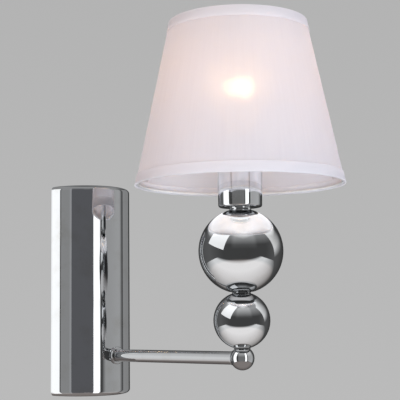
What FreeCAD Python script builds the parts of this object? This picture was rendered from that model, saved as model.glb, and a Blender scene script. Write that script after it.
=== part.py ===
"""Chrome wall sconce: a half-round wall canopy, one level arm, two chrome balls and a tapered shade.

Frame: millimetres, +Z up, the wall is the plane y = 0 and the lamp stands out towards -Y.
The origin is the centre of the canopy's outline on the wall.
Pieces on the lamp's own upright axis are measured upwards from the arm's axis.
"""
import FreeCAD, Part
import math
import os
import Sketcher
from FreeCAD import Placement, Rotation, Vector

# Driving dimensions in millimetres, one cell each in the document's Sizes sheet.
SIZES = {
    # canopy and what holds it to the wall
    "canopy_radius": 48, "canopy_tall": 218, "canopy_wall": 1.2, "canopy_edge": 5,
    "plate_wide": 70, "plate_gauge": 1.6, "ear_wide": 26, "ear_deep": 16,
    "slot_pitch": 120, "slot_long": 14, "slot_half": 2.6,
    "cable_hole": 10, "cable_hole_drop": 26, "screw_hole": 2.15, "screw_out": 9,
    "screw_shank": 2, "screw_long": 8, "screw_head": 3.6, "head_tall": 2.2,
    "block_wide": 20, "block_tall": 17, "block_deep": 14, "block_low": -8, "pole_half": 4.6,
    "wire_hole": 1.7, "pole_screw": 1.6, "pole_screw_long": 5,
    "earth_aside": 20, "earth_low": -84,
    # arm
    "arm_drop": 68, "reach": 216, "arm_radius": 6.25, "arm_wall": 1,
    "rod_radius": 5, "rod_bore": 3.6, "play": 0.06, "gap": 0.3,
    "collar_radius": 9.1, "collar_front": 50, "collar_round": 0.8,
    "saddle_radius": 8.6, "saddle_back": 44.2, "rod_start": 36.5, "nut_flat": 7, "nut_tall": 4.5,
    "washer_radius": 8.4, "washer_tall": 1, "ferrule_radius": 6.95, "ferrule_long": 1.6,
    "elbow_radius": 11.3, "elbow_flat": 8.4, "elbow_side": 9.4,
    "flex_radius": 1.8, "flex_start": 30, "flex_bend": 6, "lead_radius": 0.85,
    # column on the lamp's upright axis, heights above the arm's axis
    "stem_low": 5.4, "stem_high": 152, "neck_low": 8.6, "neck_radius": 7.8,
    "small_radius": 26.8, "small_rise": 35.3, "small_under": 25.4, "small_over": 24.8,
    "spool_waist": 8.45, "spool_edge": 9.6, "ball_wall": 1,
    "big_radius": 40.2, "big_rise": 100.6, "big_under": 38.5, "big_over": 38.8,
    "seat_radius": 10.4, "cup_low": 142, "cup_tall": 52, "cup_foot": 20.8, "cup_mouth": 21.9,
    "cup_wall": 1, "cup_edge": 2.2, "cup_floor": 1.2,
    # lampholder and bulb
    "holder_low": 154, "holder_radius": 18.4, "flange_radius": 21.9, "flange_tall": 2.5,
    "thread_radius": 19.6, "holder_high": 209, "socket_floor": 180, "socket_radius": 14.7,
    "shell_radius": 14.4, "shell_wall": 0.5, "bulb_low": 183, "tip_radius": 4.5, "tip_tall": 1.2,
    "cap_radius": 13.2, "cap_wall": 0.5, "cap_low": 187.5, "cap_high": 209.5, "glass_radius": 30,
    "glass_rise": 258, "glass_wall": 0.9, "neck_join": 240, "filament_radius": 8, "wire_radius": 0.4,
    "mount_radius": 4, "mount_high": 238, "ring_out": 24.5, "ring_tall": 6,
    # shade
    "shade_low": 163, "shade_tall": 158, "shade_foot": 100, "shade_mouth": 66.5, "fabric": 0.5,
    "liner": 0.4, "skin_gap": 0.1, "frame_wire": 1.2, "hub_in": 20.2, "hub_out": 28.4, "hub_tall": 1.2,
    "spoke": 1.1, "trim_tall": 10.5, "trim": 0.45, "trim_over": 0.35, "wire_inset": 2.2,
}
OUT = Rotation(Vector(1, 0, 0), 90)  # turns a piece that stands up so that it points out of the wall
UP = Rotation()
SPOKES = 3


def size(name):
    """Read one driving dimension from the document's sheet."""
    return float(FreeCAD.ActiveDocument.Sizes.get(name))


def formula(text):
    """Spell @name as a reference to that cell of the sheet."""
    return text.replace("@", "Sizes.")


def bind(item, **formulas):
    """Bind properties of an object to formulas over the sheet."""
    for prop, text in formulas.items():
        item.setExpression(prop, formula(text))


def place(item, at, turn=UP):
    """Put an object at three formulas, turned as given."""
    item.Placement = Placement(Vector(), turn)
    for axis, text in zip("xyz", at):
        if text != "0":
            item.setExpression("Placement.Base." + axis, formula(text))


def cylinder(doc, name, radius, length, at, turn=UP):
    """A round bar from a point, upwards or out of the wall."""
    item = doc.addObject("Part::Cylinder", name)
    bind(item, Radius=radius, Height=length)
    place(item, at, turn)
    return item


def box(doc, name, wide, deep, tall, at):
    """A block from its low corner."""
    item = doc.addObject("Part::Box", name)
    bind(item, Length=wide, Width=deep, Height=tall)
    place(item, at)
    return item


def join(doc, name, items):
    """Several solids joined or grouped as one object."""
    item = doc.addObject("Part::MultiFuse", name)
    item.Shapes = items
    return item


def cut(doc, name, base, tools):
    """A base with one or more tools taken away."""
    item = doc.addObject("Part::Cut", name)
    item.Base = base
    item.Tool = tools[0] if len(tools) == 1 else join(doc, name + "_tools", tools)
    return item


def tube(doc, name, radius, bore, length, at, turn=UP):
    """A round tube from a point, upwards or out of the wall."""
    outer = cylinder(doc, name + "_outer", radius, length, at, turn)
    inner = cylinder(doc, name + "_inner", bore, length, at, turn)
    return cut(doc, name, outer, [inner])


def stack_tube(doc, name, radius, bore, length, rise):
    """A tube or ring on the lamp's upright axis, from a height above the arm's axis."""
    return tube(doc, name, radius, bore, length, on_axis(rise))


def on_axis(rise):
    """The three formulas of a point on the lamp's upright axis."""
    return ("0", "-@reach", "-@arm_drop + " + rise)


def on_arm(out):
    """The three formulas of a point on the arm's axis."""
    return ("0", "-(" + out + ")", "-@arm_drop")


def origin_plane(body, role):
    """One of a body's own origin planes."""
    return [f for f in body.Origin.OriginFeatures if f.Role == role][0]


def new_sketch(body, name, role):
    """A sketch on one of the body's own origin planes."""
    sketch = body.newObject("Sketcher::SketchObject", name)
    sketch.AttachmentSupport = [(origin_plane(body, role), "")]
    sketch.MapMode = "FlatFace"
    return sketch


def pin_point(sketch, edge, across, up):
    """Hold the start of a sketch line at two formulas, on an axis where the formula is 0."""
    for kind, text, axis in (("DistanceX", across, -2), ("DistanceY", up, -1)):
        if text == "0":
            sketch.addConstraint(Sketcher.Constraint("PointOnObject", edge, 1, axis))
        else:
            index = sketch.addConstraint(Sketcher.Constraint(kind, -1, 1, edge, 1, 1.0))
            sketch.setExpression("Constraints[%d]" % index, formula(text))


def draw_outline(sketch, corners):
    """A closed outline of straight lines whose corners are pairs of formulas."""
    count = len(corners)
    start = [Vector(20 + 10 * math.cos(2 * math.pi * i / count),
                    20 + 10 * math.sin(2 * math.pi * i / count), 0) for i in range(count)]
    for i in range(count):
        sketch.addGeometry(Part.LineSegment(start[i], start[(i + 1) % count]), False)
    for i in range(count):
        sketch.addConstraint(Sketcher.Constraint("Coincident", i, 2, (i + 1) % count, 1))
    for i, (across, up) in enumerate(corners):
        pin_point(sketch, i, across, up)


def draw_circle(sketch, radius, across, up):
    """A circle at two formulas; across may be 0, which puts it on the upright axis."""
    edge = sketch.addGeometry(Part.Circle(Vector(0, 5, 0), Vector(0, 0, 1), 3), False)
    index = sketch.addConstraint(Sketcher.Constraint("Radius", edge, 3.0))
    sketch.setExpression("Constraints[%d]" % index, formula(radius))
    if across == "0":
        sketch.addConstraint(Sketcher.Constraint("PointOnObject", edge, 3, -2))
    else:
        index = sketch.addConstraint(Sketcher.Constraint("DistanceX", -1, 1, edge, 3, 1.0))
        sketch.setExpression("Constraints[%d]" % index, formula(across))
    index = sketch.addConstraint(Sketcher.Constraint("DistanceY", -1, 1, edge, 3, 5.0))
    sketch.setExpression("Constraints[%d]" % index, formula(up))


def turned_body(doc, name, corners, at, angle=360):
    """A body turned about its own upright axis from an outline of (radius, height) formulas."""
    body = doc.addObject("PartDesign::Body", name)
    sketch = new_sketch(body, name + "_outline", "XZ_Plane")
    draw_outline(sketch, corners)
    turning = body.newObject("PartDesign::Revolution", name + "_turning")
    turning.Profile = sketch
    turning.ReferenceAxis = (sketch, ["V_Axis"])
    turning.Angle = angle
    place(body, at)
    doc.recompute()
    return body, turning


def round_edges(doc, body, name, radius, wanted):
    """Round the circular edges whose radius and height match one of the wanted pairs."""
    base = body.Tip
    names = []
    for i, edge in enumerate(base.Shape.Edges):
        if not isinstance(edge.Curve, Part.Circle):
            continue
        for ring, height in wanted:
            if abs(edge.Curve.Radius - ring) < 0.01 and abs(edge.Curve.Center.z - height) < 0.01:
                names.append("Edge%d" % (i + 1))
    fillet = body.newObject("PartDesign::Fillet", name)
    fillet.Base = (base, names)
    bind(fillet, Radius=radius)
    doc.recompute()


def pocket(doc, body, sketch, name, reversed_way):
    """Cut a sketch right through a body and make sure that it took something away."""
    before = body.Shape.Volume
    item = body.newObject("PartDesign::Pocket", name)
    item.Profile = sketch
    item.Type = 1
    item.Reversed = reversed_way
    doc.recompute()
    if body.Shape.Volume > before - 0.1:
        raise RuntimeError(name + " cuts nothing")


def make_canopy_shell(doc):
    """Half-round cover with closed rounded ends, open towards the wall."""
    low = "@canopy_wall"
    high = "@canopy_tall - @canopy_wall"
    inner = "@canopy_radius - @canopy_wall"
    corners = [("0", "0"), ("@canopy_radius", "0"), ("@canopy_radius", "@canopy_tall"),
               ("0", "@canopy_tall"), ("0", high), (inner, high), (inner, low), ("0", low)]
    body, turning = turned_body(doc, "canopy_shell", corners, ("0", "0", "-@canopy_tall / 2"), 180)
    if body.Shape.BoundBox.YMax > 1:
        turning.Reversed = True
        doc.recompute()
    radius, tall, wall = size("canopy_radius"), size("canopy_tall"), size("canopy_wall")
    round_edges(doc, body, "outer_round", "@canopy_edge", [(radius, 0), (radius, tall)])
    round_edges(doc, body, "inner_round", "@canopy_edge - @canopy_wall",
                [(radius - wall, wall), (radius - wall, tall - wall)])
    front = new_sketch(body, "rod_hole", "XZ_Plane")
    draw_circle(front, "@rod_radius + @play", "0", "@canopy_tall / 2 - @arm_drop")
    pocket(doc, body, front, "rod_pocket", True)
    ends = new_sketch(body, "screw_holes", "XY_Plane")
    draw_circle(ends, "@screw_hole", "0", "-@screw_out")
    pocket(doc, body, ends, "screw_pocket", True)
    return body


def slot_tool(doc, name, rise):
    """The round-ended cutter of one upright wall slot."""
    deep = "@plate_gauge + 2"
    ends = []
    for sign in ("+", "-"):
        at = ("0", "1", "%s %s (@slot_long / 2 - @slot_half)" % (rise, sign))
        ends.append(cylinder(doc, name + ("_top" if sign == "+" else "_foot"), "@slot_half", deep, at, OUT))
    low = (" -@slot_half", "-@plate_gauge - 1", rise + " - @slot_long / 2 + @slot_half")
    ends.append(box(doc, name + "_waist", "2 * @slot_half", deep, "@slot_long - 2 * @slot_half", low))
    return join(doc, name, ends)


def make_wall_bracket(doc):
    """Flat steel plate with two bent ears, wall slots, a cable hole and an earth hole."""
    tall = "@canopy_tall - 2 * @canopy_wall - 0.2"
    half = "(@canopy_tall / 2 - @canopy_wall - 0.1)"
    plate = box(doc, "bracket_plate", "@plate_wide", "@plate_gauge", tall,
                ("-@plate_wide / 2", "-@plate_gauge", "-" + half))
    ear_top = box(doc, "bracket_ear_top", "@ear_wide", "@ear_deep", "@plate_gauge",
                  ("-@ear_wide / 2", "-@ear_deep", half + " - @plate_gauge"))
    ear_foot = box(doc, "bracket_ear_foot", "@ear_wide", "@ear_deep", "@plate_gauge",
                   ("-@ear_wide / 2", "-@ear_deep", "-" + half))
    blank = join(doc, "bracket_blank", [plate, ear_top, ear_foot])
    deep = "@plate_gauge + 2"
    tools = [slot_tool(doc, "slot_top", "@slot_pitch / 2"), slot_tool(doc, "slot_foot", "-@slot_pitch / 2")]
    tools.append(cylinder(doc, "cable_hole", "@cable_hole", deep, ("0", "1", "-@cable_hole_drop"), OUT))
    tools.append(cylinder(doc, "earth_hole", "@screw_shank", deep, ("@earth_aside", "1", "@earth_low"), OUT))
    tools.append(cylinder(doc, "ear_holes", "@screw_shank", "@canopy_tall + 20",
                          ("0", "-@screw_out", "-@canopy_tall / 2 - 10")))
    return cut(doc, "wall_bracket", blank, tools)


def make_canopy_screws(doc):
    """Two cheese-head screws, one through each end of the canopy into the bracket's ears."""
    pieces = []
    for end, head_at, shank_at in (
            ("top", "@canopy_tall / 2", "@canopy_tall / 2 - @screw_long"),
            ("foot", "-@canopy_tall / 2 - @head_tall", "-@canopy_tall / 2")):
        head = cylinder(doc, "screw_head_" + end, "@screw_head", "@head_tall", ("0", "-@screw_out", head_at))
        shank = cylinder(doc, "screw_shank_" + end, "@screw_shank - 0.02", "@screw_long",
                         ("0", "-@screw_out", shank_at))
        pieces.append(join(doc, "canopy_screw_" + end, [head, shank]))
    return join(doc, "canopy_screws", pieces)


def make_terminal_block(doc):
    """Two-pole connector block on the bracket, with its wire ways running upright."""
    body = box(doc, "block_body", "@block_wide", "@block_deep", "@block_tall",
               ("-@block_wide / 2", "-@plate_gauge - @block_deep - 0.05", "@block_low"))
    tools = []
    for i, side in enumerate(("-", "")):
        across = side + "@pole_half"
        tools.append(cylinder(doc, "wire_way_%d" % i, "@wire_hole", "@block_tall + 2",
                              (across, "-@plate_gauge - @block_deep / 2", "@block_low - 1")))
        tools.append(cylinder(doc, "screw_way_%d" % i, "@pole_screw + 0.1", "@block_deep",
                              (across, "-@plate_gauge - @block_deep / 2", "@block_low + @block_tall / 2"),
                              OUT))
    return cut(doc, "terminal_block", body, tools)


def make_terminal_screws(doc):
    """The two clamping screws of the connector block."""
    screws = []
    for i, side in enumerate(("-", "")):
        at = (side + "@pole_half", "-@plate_gauge - @block_deep / 2 - @wire_hole - 0.1",
              "@block_low + @block_tall / 2")
        screws.append(cylinder(doc, "pole_screw_%d" % i, "@pole_screw", "@pole_screw_long", at, OUT))
    return join(doc, "terminal_screws", screws)


def make_earth_screw(doc):
    """Earth screw in the bracket, with its head towards the room."""
    shank = cylinder(doc, "earth_shank", "@screw_shank - 0.02", "@plate_gauge + 1.2",
                     ("@earth_aside", "0", "@earth_low"), OUT)
    head = cylinder(doc, "earth_head", "@screw_head", "@head_tall",
                    ("@earth_aside", "-@plate_gauge - 1.05", "@earth_low"), OUT)
    return join(doc, "earth_screw", [shank, head])


def make_earth_washer(doc):
    """Cup washer that holds the earth lead under the earth screw's head."""
    return tube(doc, "earth_washer", "@screw_head + 0.6", "@screw_shank", "1",
                ("@earth_aside", "-@plate_gauge - 0.03", "@earth_low"), OUT)


def make_collar(doc):
    """Small round collar where the arm leaves the canopy, hollowed at the back to sit on it."""
    disc = cylinder(doc, "collar_disc", "@collar_radius", "4.5", on_arm("@collar_front - 4.5"), OUT)
    curve = cylinder(doc, "collar_curve", "@canopy_radius + 0.02", "60", ("0", "0", "-@arm_drop - 30"))
    bore = cylinder(doc, "collar_bore", "@rod_radius + @play", "20", on_arm("@collar_front - 15"), OUT)
    blank = cut(doc, "collar_blank", disc, [curve, bore])
    doc.recompute()
    rounded = doc.addObject("Part::Fillet", "arm_collar")
    rounded.Base = blank
    front = -size("collar_front")
    rounded.Edges = [(i + 1, size("collar_round"), size("collar_round"))
                     for i, edge in enumerate(blank.Shape.Edges)
                     if isinstance(edge.Curve, Part.Circle) and abs(edge.Curve.Center.y - front) < 0.01
                     and abs(edge.Curve.Radius - size("collar_radius")) < 0.01]
    return rounded


def make_saddle(doc):
    """Packing piece inside the canopy: curved against the wall of it, flat for the nut."""
    disc = cylinder(doc, "saddle_disc", "@saddle_radius", "6", on_arm("@saddle_back"), OUT)
    curve = cylinder(doc, "saddle_curve", "@canopy_radius - @canopy_wall - 0.02", "60",
                     ("0", "0", "-@arm_drop - 30"))
    common = doc.addObject("Part::Common", "saddle_common")
    common.Base = disc
    common.Tool = curve
    bore = cylinder(doc, "saddle_bore", "@rod_radius + @play", "20", on_arm("@saddle_back - 5"), OUT)
    return cut(doc, "inner_saddle", common, [bore])


def hex_nut(doc, name, at, turn=UP):
    """A thin hexagon nut on the threaded tube."""
    blank = doc.addObject("Part::Prism", name + "_hex")
    blank.Polygon = 6
    bind(blank, Circumradius="@nut_flat / cos(30)", Height="@nut_tall")
    place(blank, at, turn)
    bore = cylinder(doc, name + "_bore", "@rod_radius + 0.02", "@nut_tall", at, turn)
    return cut(doc, name, blank, [bore])


def make_arm_nut(doc):
    """Nut that pulls the arm against the canopy from inside."""
    return hex_nut(doc, "arm_nut", on_arm("@saddle_back - @gap - @washer_tall - @nut_tall"), OUT)


def make_lock_washer(doc):
    """Lock washer between the nut and the saddle."""
    return tube(doc, "lock_washer", "@washer_radius", "@rod_radius + 0.1", "@washer_tall - 0.02",
                on_arm("@saddle_back - @gap - @washer_tall + 0.01"), OUT)


def make_arm_rod(doc):
    """Threaded tube that runs through the arm from inside the canopy to the elbow ball."""
    return tube(doc, "arm_rod", "@rod_radius", "@rod_bore", "@reach - @rod_start - 6.5",
                on_arm("@rod_start"), OUT)


def make_arm_tube(doc):
    """Plain bright tube of the arm, from the collar to the ferrule."""
    length = "@reach - @elbow_side - @ferrule_long - @collar_front - @gap"
    return tube(doc, "arm_tube", "@arm_radius", "@arm_radius - @arm_wall", length,
                on_arm("@collar_front + @gap"), OUT)


def make_arm_ferrule(doc):
    """Thin ring where the arm meets the elbow ball."""
    return tube(doc, "arm_ferrule", "@ferrule_radius", "@rod_radius + 0.1", "@ferrule_long",
                on_arm("@reach - @elbow_side - @ferrule_long"), OUT)


def make_elbow_ball(doc):
    """Small solid ball with a flat for the arm, a flat on top and two bores that meet."""
    ball = doc.addObject("Part::Sphere", "elbow_sphere")
    bind(ball, Radius="@elbow_radius", Angle2="asin(@elbow_flat / @elbow_radius)")
    place(ball, on_axis("0"))
    facing = cylinder(doc, "elbow_facing", "@elbow_radius", "6", on_arm("@reach - @elbow_side - 6"), OUT)
    side = cylinder(doc, "elbow_side_bore", "@rod_radius + 0.02", "12", on_arm("@reach - 12"), OUT)
    top = cylinder(doc, "elbow_top_bore", "@rod_radius + @play", "14", on_axis("0"))
    middle = doc.addObject("Part::Sphere", "elbow_middle")
    bind(middle, Radius="@rod_radius + @play")
    place(middle, on_axis("0"))
    return cut(doc, "elbow_ball", ball, [facing, side, top, middle])


def hollow_ball(doc, name, radius, rise, under, over):
    """A thin spun ball with a small flat below and above, bored for the threaded tube."""
    shells = []
    for part, less in (("outer", "0"), ("inner", "@ball_wall")):
        ball = doc.addObject("Part::Sphere", "%s_%s" % (name, part))
        bind(ball, Radius="%s - %s" % (radius, less),
             Angle1="-asin((%s - %s) / (%s - %s))" % (under, less, radius, less),
             Angle2="asin((%s - %s) / (%s - %s))" % (over, less, radius, less))
        place(ball, on_axis(rise))
        shells.append(ball)
    bore = cylinder(doc, name + "_bore", "@rod_radius + @play", "2 * " + radius,
                    on_axis("%s - %s" % (rise, radius)))
    return cut(doc, name, shells[0], [shells[1], bore])


def make_small_ball(doc):
    """Lower chrome ball."""
    return hollow_ball(doc, "small_ball", "@small_radius", "@small_rise", "@small_under", "@small_over")


def make_big_ball(doc):
    """Upper chrome ball."""
    return hollow_ball(doc, "big_ball", "@big_radius", "@big_rise", "@big_under", "@big_over")


def make_neck_ring(doc):
    """Ring between the elbow ball and the lower ball."""
    return stack_tube(doc, "neck_ring", "@neck_radius", "@rod_radius + @play",
                      "@small_rise - @small_under - @neck_low", "@neck_low")


def make_spool_neck(doc):
    """Waisted ring between the two chrome balls."""
    foot = "@small_rise + @small_over"
    head = "@big_rise - @big_under"
    bore = "@rod_radius + @play"
    corners = [(bore, foot), ("@spool_edge", foot), ("@spool_waist", "(%s + %s) / 2" % (foot, head)),
               ("@spool_edge", head), (bore, head)]
    return turned_body(doc, "spool_neck", corners, on_axis("0"))[0]


def make_cup_seat(doc):
    """Washer between the upper ball and the lampholder cup."""
    low = "@big_rise + @big_over"
    return stack_tube(doc, "cup_seat", "@seat_radius", "@rod_radius + @play",
                      "@cup_low - (%s)" % low, low)


def make_stem_rod(doc):
    """Threaded tube that carries the column from the elbow ball up into the cup."""
    return stack_tube(doc, "stem_rod", "@rod_radius", "@rod_bore", "@stem_high - @stem_low", "@stem_low")


def make_stem_nut(doc):
    """Nut inside the cup that pulls the column together."""
    return hex_nut(doc, "stem_nut", on_axis("@cup_low + @cup_floor"))


def make_holder_cup(doc):
    """Bright cup that covers the lampholder, slightly wider at its mouth."""
    floor = "@cup_low + @cup_floor"
    mouth = "@cup_low + @cup_tall"
    bore = "@rod_radius + @play"
    corners = [(bore, "@cup_low"), ("@cup_foot", "@cup_low"), ("@cup_mouth", mouth),
               ("@cup_mouth - @cup_wall", mouth), ("@cup_foot - @cup_wall", floor), (bore, floor)]
    body = turned_body(doc, "holder_cup", corners, on_axis("0"))[0]
    round_edges(doc, body, "cup_round", "@cup_edge", [(size("cup_foot"), size("cup_low"))])
    return body


def make_lampholder_body(doc):
    """Moulded lampholder: round body in the cup, flange on its mouth and a threaded neck above."""
    flange = "@cup_low + @cup_tall"
    neck = flange + " + @flange_tall"
    corners = [("0", "@holder_low"), ("@holder_radius", "@holder_low"), ("@holder_radius", flange),
               ("@flange_radius", flange), ("@flange_radius", neck), ("@thread_radius", neck),
               ("@thread_radius", "@holder_high"), ("@socket_radius", "@holder_high"),
               ("@socket_radius", "@socket_floor"), ("0", "@socket_floor")]
    return turned_body(doc, "lampholder_body", corners, on_axis("0"))[0]


def make_socket_shell(doc):
    """Threaded metal shell inside the lampholder, drawn plain."""
    return stack_tube(doc, "socket_shell", "@shell_radius", "@shell_radius - @shell_wall",
                      "@holder_high - @socket_floor - 3", "@socket_floor + 0.5")


def make_socket_contact(doc):
    """Spring tongue under the bulb's tip, raised on a rivet."""
    rivet = cylinder(doc, "contact_rivet", "2.2", "1.6", on_axis("@socket_floor"))
    tongue = box(doc, "contact_tongue", "14", "5", "0.5",
                 ("-7", "-@reach - 2.5", "-@arm_drop + @socket_floor + 1.6"))
    return join(doc, "socket_contact", [rivet, tongue])


def make_shade_ring(doc):
    """Threaded ring that clamps the shade's hub on the lampholder's flange."""
    low = "@cup_low + @cup_tall + @flange_tall + @hub_tall + 2 * @gap"
    return stack_tube(doc, "shade_ring", "@ring_out", "@thread_radius + 0.05", "@ring_tall", low)


def shade_radius(up, inward):
    """The shade's outer radius at a height over its foot, less a depth inward."""
    slope = "(@shade_foot - @shade_mouth) / @shade_tall"
    return "@shade_foot - (%s) * %s - (%s)" % (up, slope, inward)


def shade_band(doc, name, low, high, outer, inner):
    """A tapered skin between two heights over the shade's foot and two depths inward."""
    corners = [(shade_radius(low, inner), "@shade_low + " + low),
               (shade_radius(low, outer), "@shade_low + " + low),
               (shade_radius(high, outer), "@shade_low + " + high),
               (shade_radius(high, inner), "@shade_low + " + high)]
    return turned_body(doc, name, corners, on_axis("0"))[0]


def make_shade_fabric(doc):
    """Outer fabric of the shade."""
    return shade_band(doc, "shade_fabric", "0.3", "(@shade_tall - 0.3)", "0", "@fabric")


def make_shade_liner(doc):
    """Stiff translucent liner that the fabric is laid on."""
    return shade_band(doc, "shade_liner", "0.3", "(@shade_tall - 0.3)", "@fabric + @skin_gap",
                      "@fabric + @skin_gap + @liner")


def make_foot_trim(doc):
    """Tape folded over the shade's lower edge."""
    return shade_band(doc, "foot_trim", "0.3", "@trim_tall", "-@skin_gap - @trim", "-@skin_gap")


def make_mouth_trim(doc):
    """Tape folded over the shade's upper edge."""
    return shade_band(doc, "mouth_trim", "(@shade_tall - @trim_tall)", "(@shade_tall - 0.3)",
                      "-@skin_gap - @trim", "-@skin_gap")


def frame_ring(doc, name, up):
    """A round wire ring just inside the liner at a height over the shade's foot."""
    ring = doc.addObject("Part::Torus", name)
    inward = "@fabric + 2 * @skin_gap + @liner + 1.03 * @frame_wire"
    bind(ring, Radius1=shade_radius(up, inward), Radius2="@frame_wire")
    place(ring, on_axis("@shade_low + " + up))
    return ring


def make_foot_wire(doc):
    """Wire ring at the shade's foot."""
    return frame_ring(doc, "foot_wire", "@wire_inset")


def make_mouth_wire(doc):
    """Wire ring at the shade's mouth."""
    return frame_ring(doc, "mouth_wire", "(@shade_tall - @wire_inset)")


def hub_low():
    """Height of the underside of the shade's hub above the arm's axis."""
    return "@cup_low + @cup_tall + @flange_tall + @gap"


def make_shade_hub(doc):
    """Flat ring of the shade's frame that sits round the lampholder's neck."""
    return stack_tube(doc, "shade_hub", "@hub_out", "@hub_in", "@hub_tall", hub_low())


def make_shade_spokes(doc):
    """Straight wires from the hub up to the ring at the shade's mouth."""
    low = size("cup_low") + size("cup_tall") + size("flange_tall") + size("gap") + size("hub_tall")
    start = Vector(size("hub_out") - 1.5, 0, low + 0.35)
    taper = (size("shade_foot") - size("shade_mouth")) / size("shade_tall")
    up = size("shade_tall") - size("wire_inset")
    ring = size("shade_foot") - up * taper - size("fabric") - size("liner") - 2 * size("skin_gap")
    end = Vector(ring - 3.1 * size("frame_wire"), 0, size("shade_low") + up - 1.9)
    run = end - start
    spokes = []
    for i in range(SPOKES):
        turn = Rotation(Vector(0, 0, 1), 30 + 360 * i / SPOKES)
        spoke = doc.addObject("Part::Cylinder", "spoke_%d" % i)
        bind(spoke, Radius="@spoke")
        spoke.Height = run.Length
        home = Vector(0, -size("reach"), -size("arm_drop"))
        spoke.Placement = Placement(home + turn.multVec(start),
                                    turn.multiply(Rotation(Vector(0, 0, 1), run)))
        spokes.append(spoke)
    return join(doc, "shade_spokes", spokes)


def make_bulb_contact(doc):
    """Solder tip of the bulb."""
    return cylinder(doc, "bulb_contact", "@tip_radius", "@tip_tall", on_axis("@bulb_low"))


def make_bulb_insulator(doc):
    """Dark glass ring between the bulb's tip and its screw cap."""
    low = "@bulb_low + @tip_tall"
    corners = [("0", low), ("@tip_radius + 0.6", low), ("@cap_radius - 1.6", "@cap_low"), ("0", "@cap_low")]
    return turned_body(doc, "bulb_insulator", corners, on_axis("0"))[0]


def make_bulb_cap(doc):
    """Screw cap of the bulb, drawn plain."""
    return stack_tube(doc, "bulb_cap", "@cap_radius", "@cap_radius - @cap_wall", "@cap_high - @cap_low",
                      "@cap_low")


def glass_form(doc, name, less):
    """The bulb's outline as a cone that runs into a ball, smaller all round by a formula."""
    ball = doc.addObject("Part::Sphere", name + "_ball")
    bind(ball, Radius="@glass_radius - " + less)
    place(ball, on_axis("@glass_rise"))
    neck = doc.addObject("Part::Cone", name + "_neck")
    bind(neck, Radius1="@cap_radius - " + less, Height="@neck_join - @cap_high",
         Radius2="sqrt(@glass_radius^2 - (@glass_rise - @neck_join)^2) - " + less)
    place(neck, on_axis("@cap_high"))
    return join(doc, name, [ball, neck])


def make_bulb_glass(doc):
    """Hollow frosted glass of the bulb."""
    return cut(doc, "bulb_glass", glass_form(doc, "glass_outer", "0"),
               [glass_form(doc, "glass_inner", "@glass_wall")])


def make_bulb_mount(doc):
    """Glass post inside the bulb that carries the filament's wires."""
    return cylinder(doc, "bulb_mount", "@mount_radius", "@mount_high - @cap_high - 0.1",
                    on_axis("@cap_high + 0.1"))


def make_bulb_filament(doc):
    """Filament, drawn as a thin ring on two wires."""
    ring = doc.addObject("Part::Torus", "filament_ring")
    bind(ring, Radius1="@filament_radius", Radius2="@wire_radius")
    place(ring, on_axis("@glass_rise"))
    pieces = [ring]
    for i, side in enumerate((1, -1)):
        start = Vector(side * 2.5, 0, size("mount_high") + 0.2)
        end = Vector(side * size("filament_radius"), 0, size("glass_rise"))
        wire = doc.addObject("Part::Cylinder", "filament_wire_%d" % i)
        bind(wire, Radius="@wire_radius")
        wire.Height = (end - start).Length
        home = Vector(0, -size("reach"), -size("arm_drop"))
        wire.Placement = Placement(home + start, Rotation(Vector(0, 0, 1), end - start))
        pieces.append(wire)
    return join(doc, "bulb_filament", pieces)


def bent_path(points, bend):
    """Straight runs through the points, joined by arcs that touch both runs."""
    edges = []
    here = points[0]
    for before, corner, after in zip(points, points[1:], points[2:]):
        into = (corner - before).normalize()
        away = (after - corner).normalize()
        turn = into.getAngle(away)
        short = min((corner - before).Length, (after - corner).Length) * 0.45
        setback = min(bend * math.tan(turn / 2), short)
        start = corner - into * setback
        end = corner + away * setback
        radius = setback / math.tan(turn / 2)
        centre = start + (away - into * into.dot(away)).normalize() * radius
        middle = centre + (corner - centre).normalize() * radius
        edges.append(Part.LineSegment(here, start).toShape())
        edges.append(Part.Arc(start, middle, end).toShape())
        here = end
    edges.append(Part.LineSegment(here, points[-1]).toShape())
    return Part.Wire(edges)


def sweep_round(doc, name, points, radius, bend):
    """A round flexible lead along a bent path, checked against its section times its length."""
    path = bent_path(points, bend)
    circle = Part.Wire([Part.Circle(points[0], points[1] - points[0], radius).toShape()])
    item = doc.addObject("Part::Feature", name)
    item.Shape = path.makePipeShell([circle], True, False)
    expected = math.pi * radius ** 2 * path.Length
    if abs(item.Shape.Volume / expected - 1) > 0.01:
        raise RuntimeError(name + " has the wrong volume")
    return item


def make_arm_flex(doc):
    """Flexible cable in the arm: along its axis and up into the column's foot."""
    axis = -size("arm_drop")
    end = -size("reach")
    points = [Vector(0, -size("flex_start"), axis), Vector(0, end, axis),
              Vector(0, end, axis + size("neck_low") - 0.2)]
    return sweep_round(doc, "arm_flex", points, size("flex_radius"), size("flex_bend"))


def make_stem_flex(doc):
    """Flexible cable in the column, up to the lampholder."""
    return cylinder(doc, "stem_flex", "@flex_radius", "@stem_high - @neck_low", on_axis("@neck_low"))


def make_canopy_leads(doc):
    """Live and neutral leads from the cable's end up to the connector block."""
    axis = -size("arm_drop")
    way_out = -size("plate_gauge") - size("block_deep") / 2
    leads = []
    for i, side in enumerate((-1, 1)):
        pole = side * size("pole_half")
        points = [Vector(side * 1.0, -size("flex_start") + 0.3, axis + 0.7),
                  Vector(side * 1.0, -22, axis + 0.7), Vector(pole, -14, axis + 14),
                  Vector(pole, way_out, axis + 32), Vector(pole, way_out, size("block_low") + 5)]
        leads.append(sweep_round(doc, "canopy_lead_%d" % i, points, size("lead_radius"), 6))
    return join(doc, "canopy_leads", leads)


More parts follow.
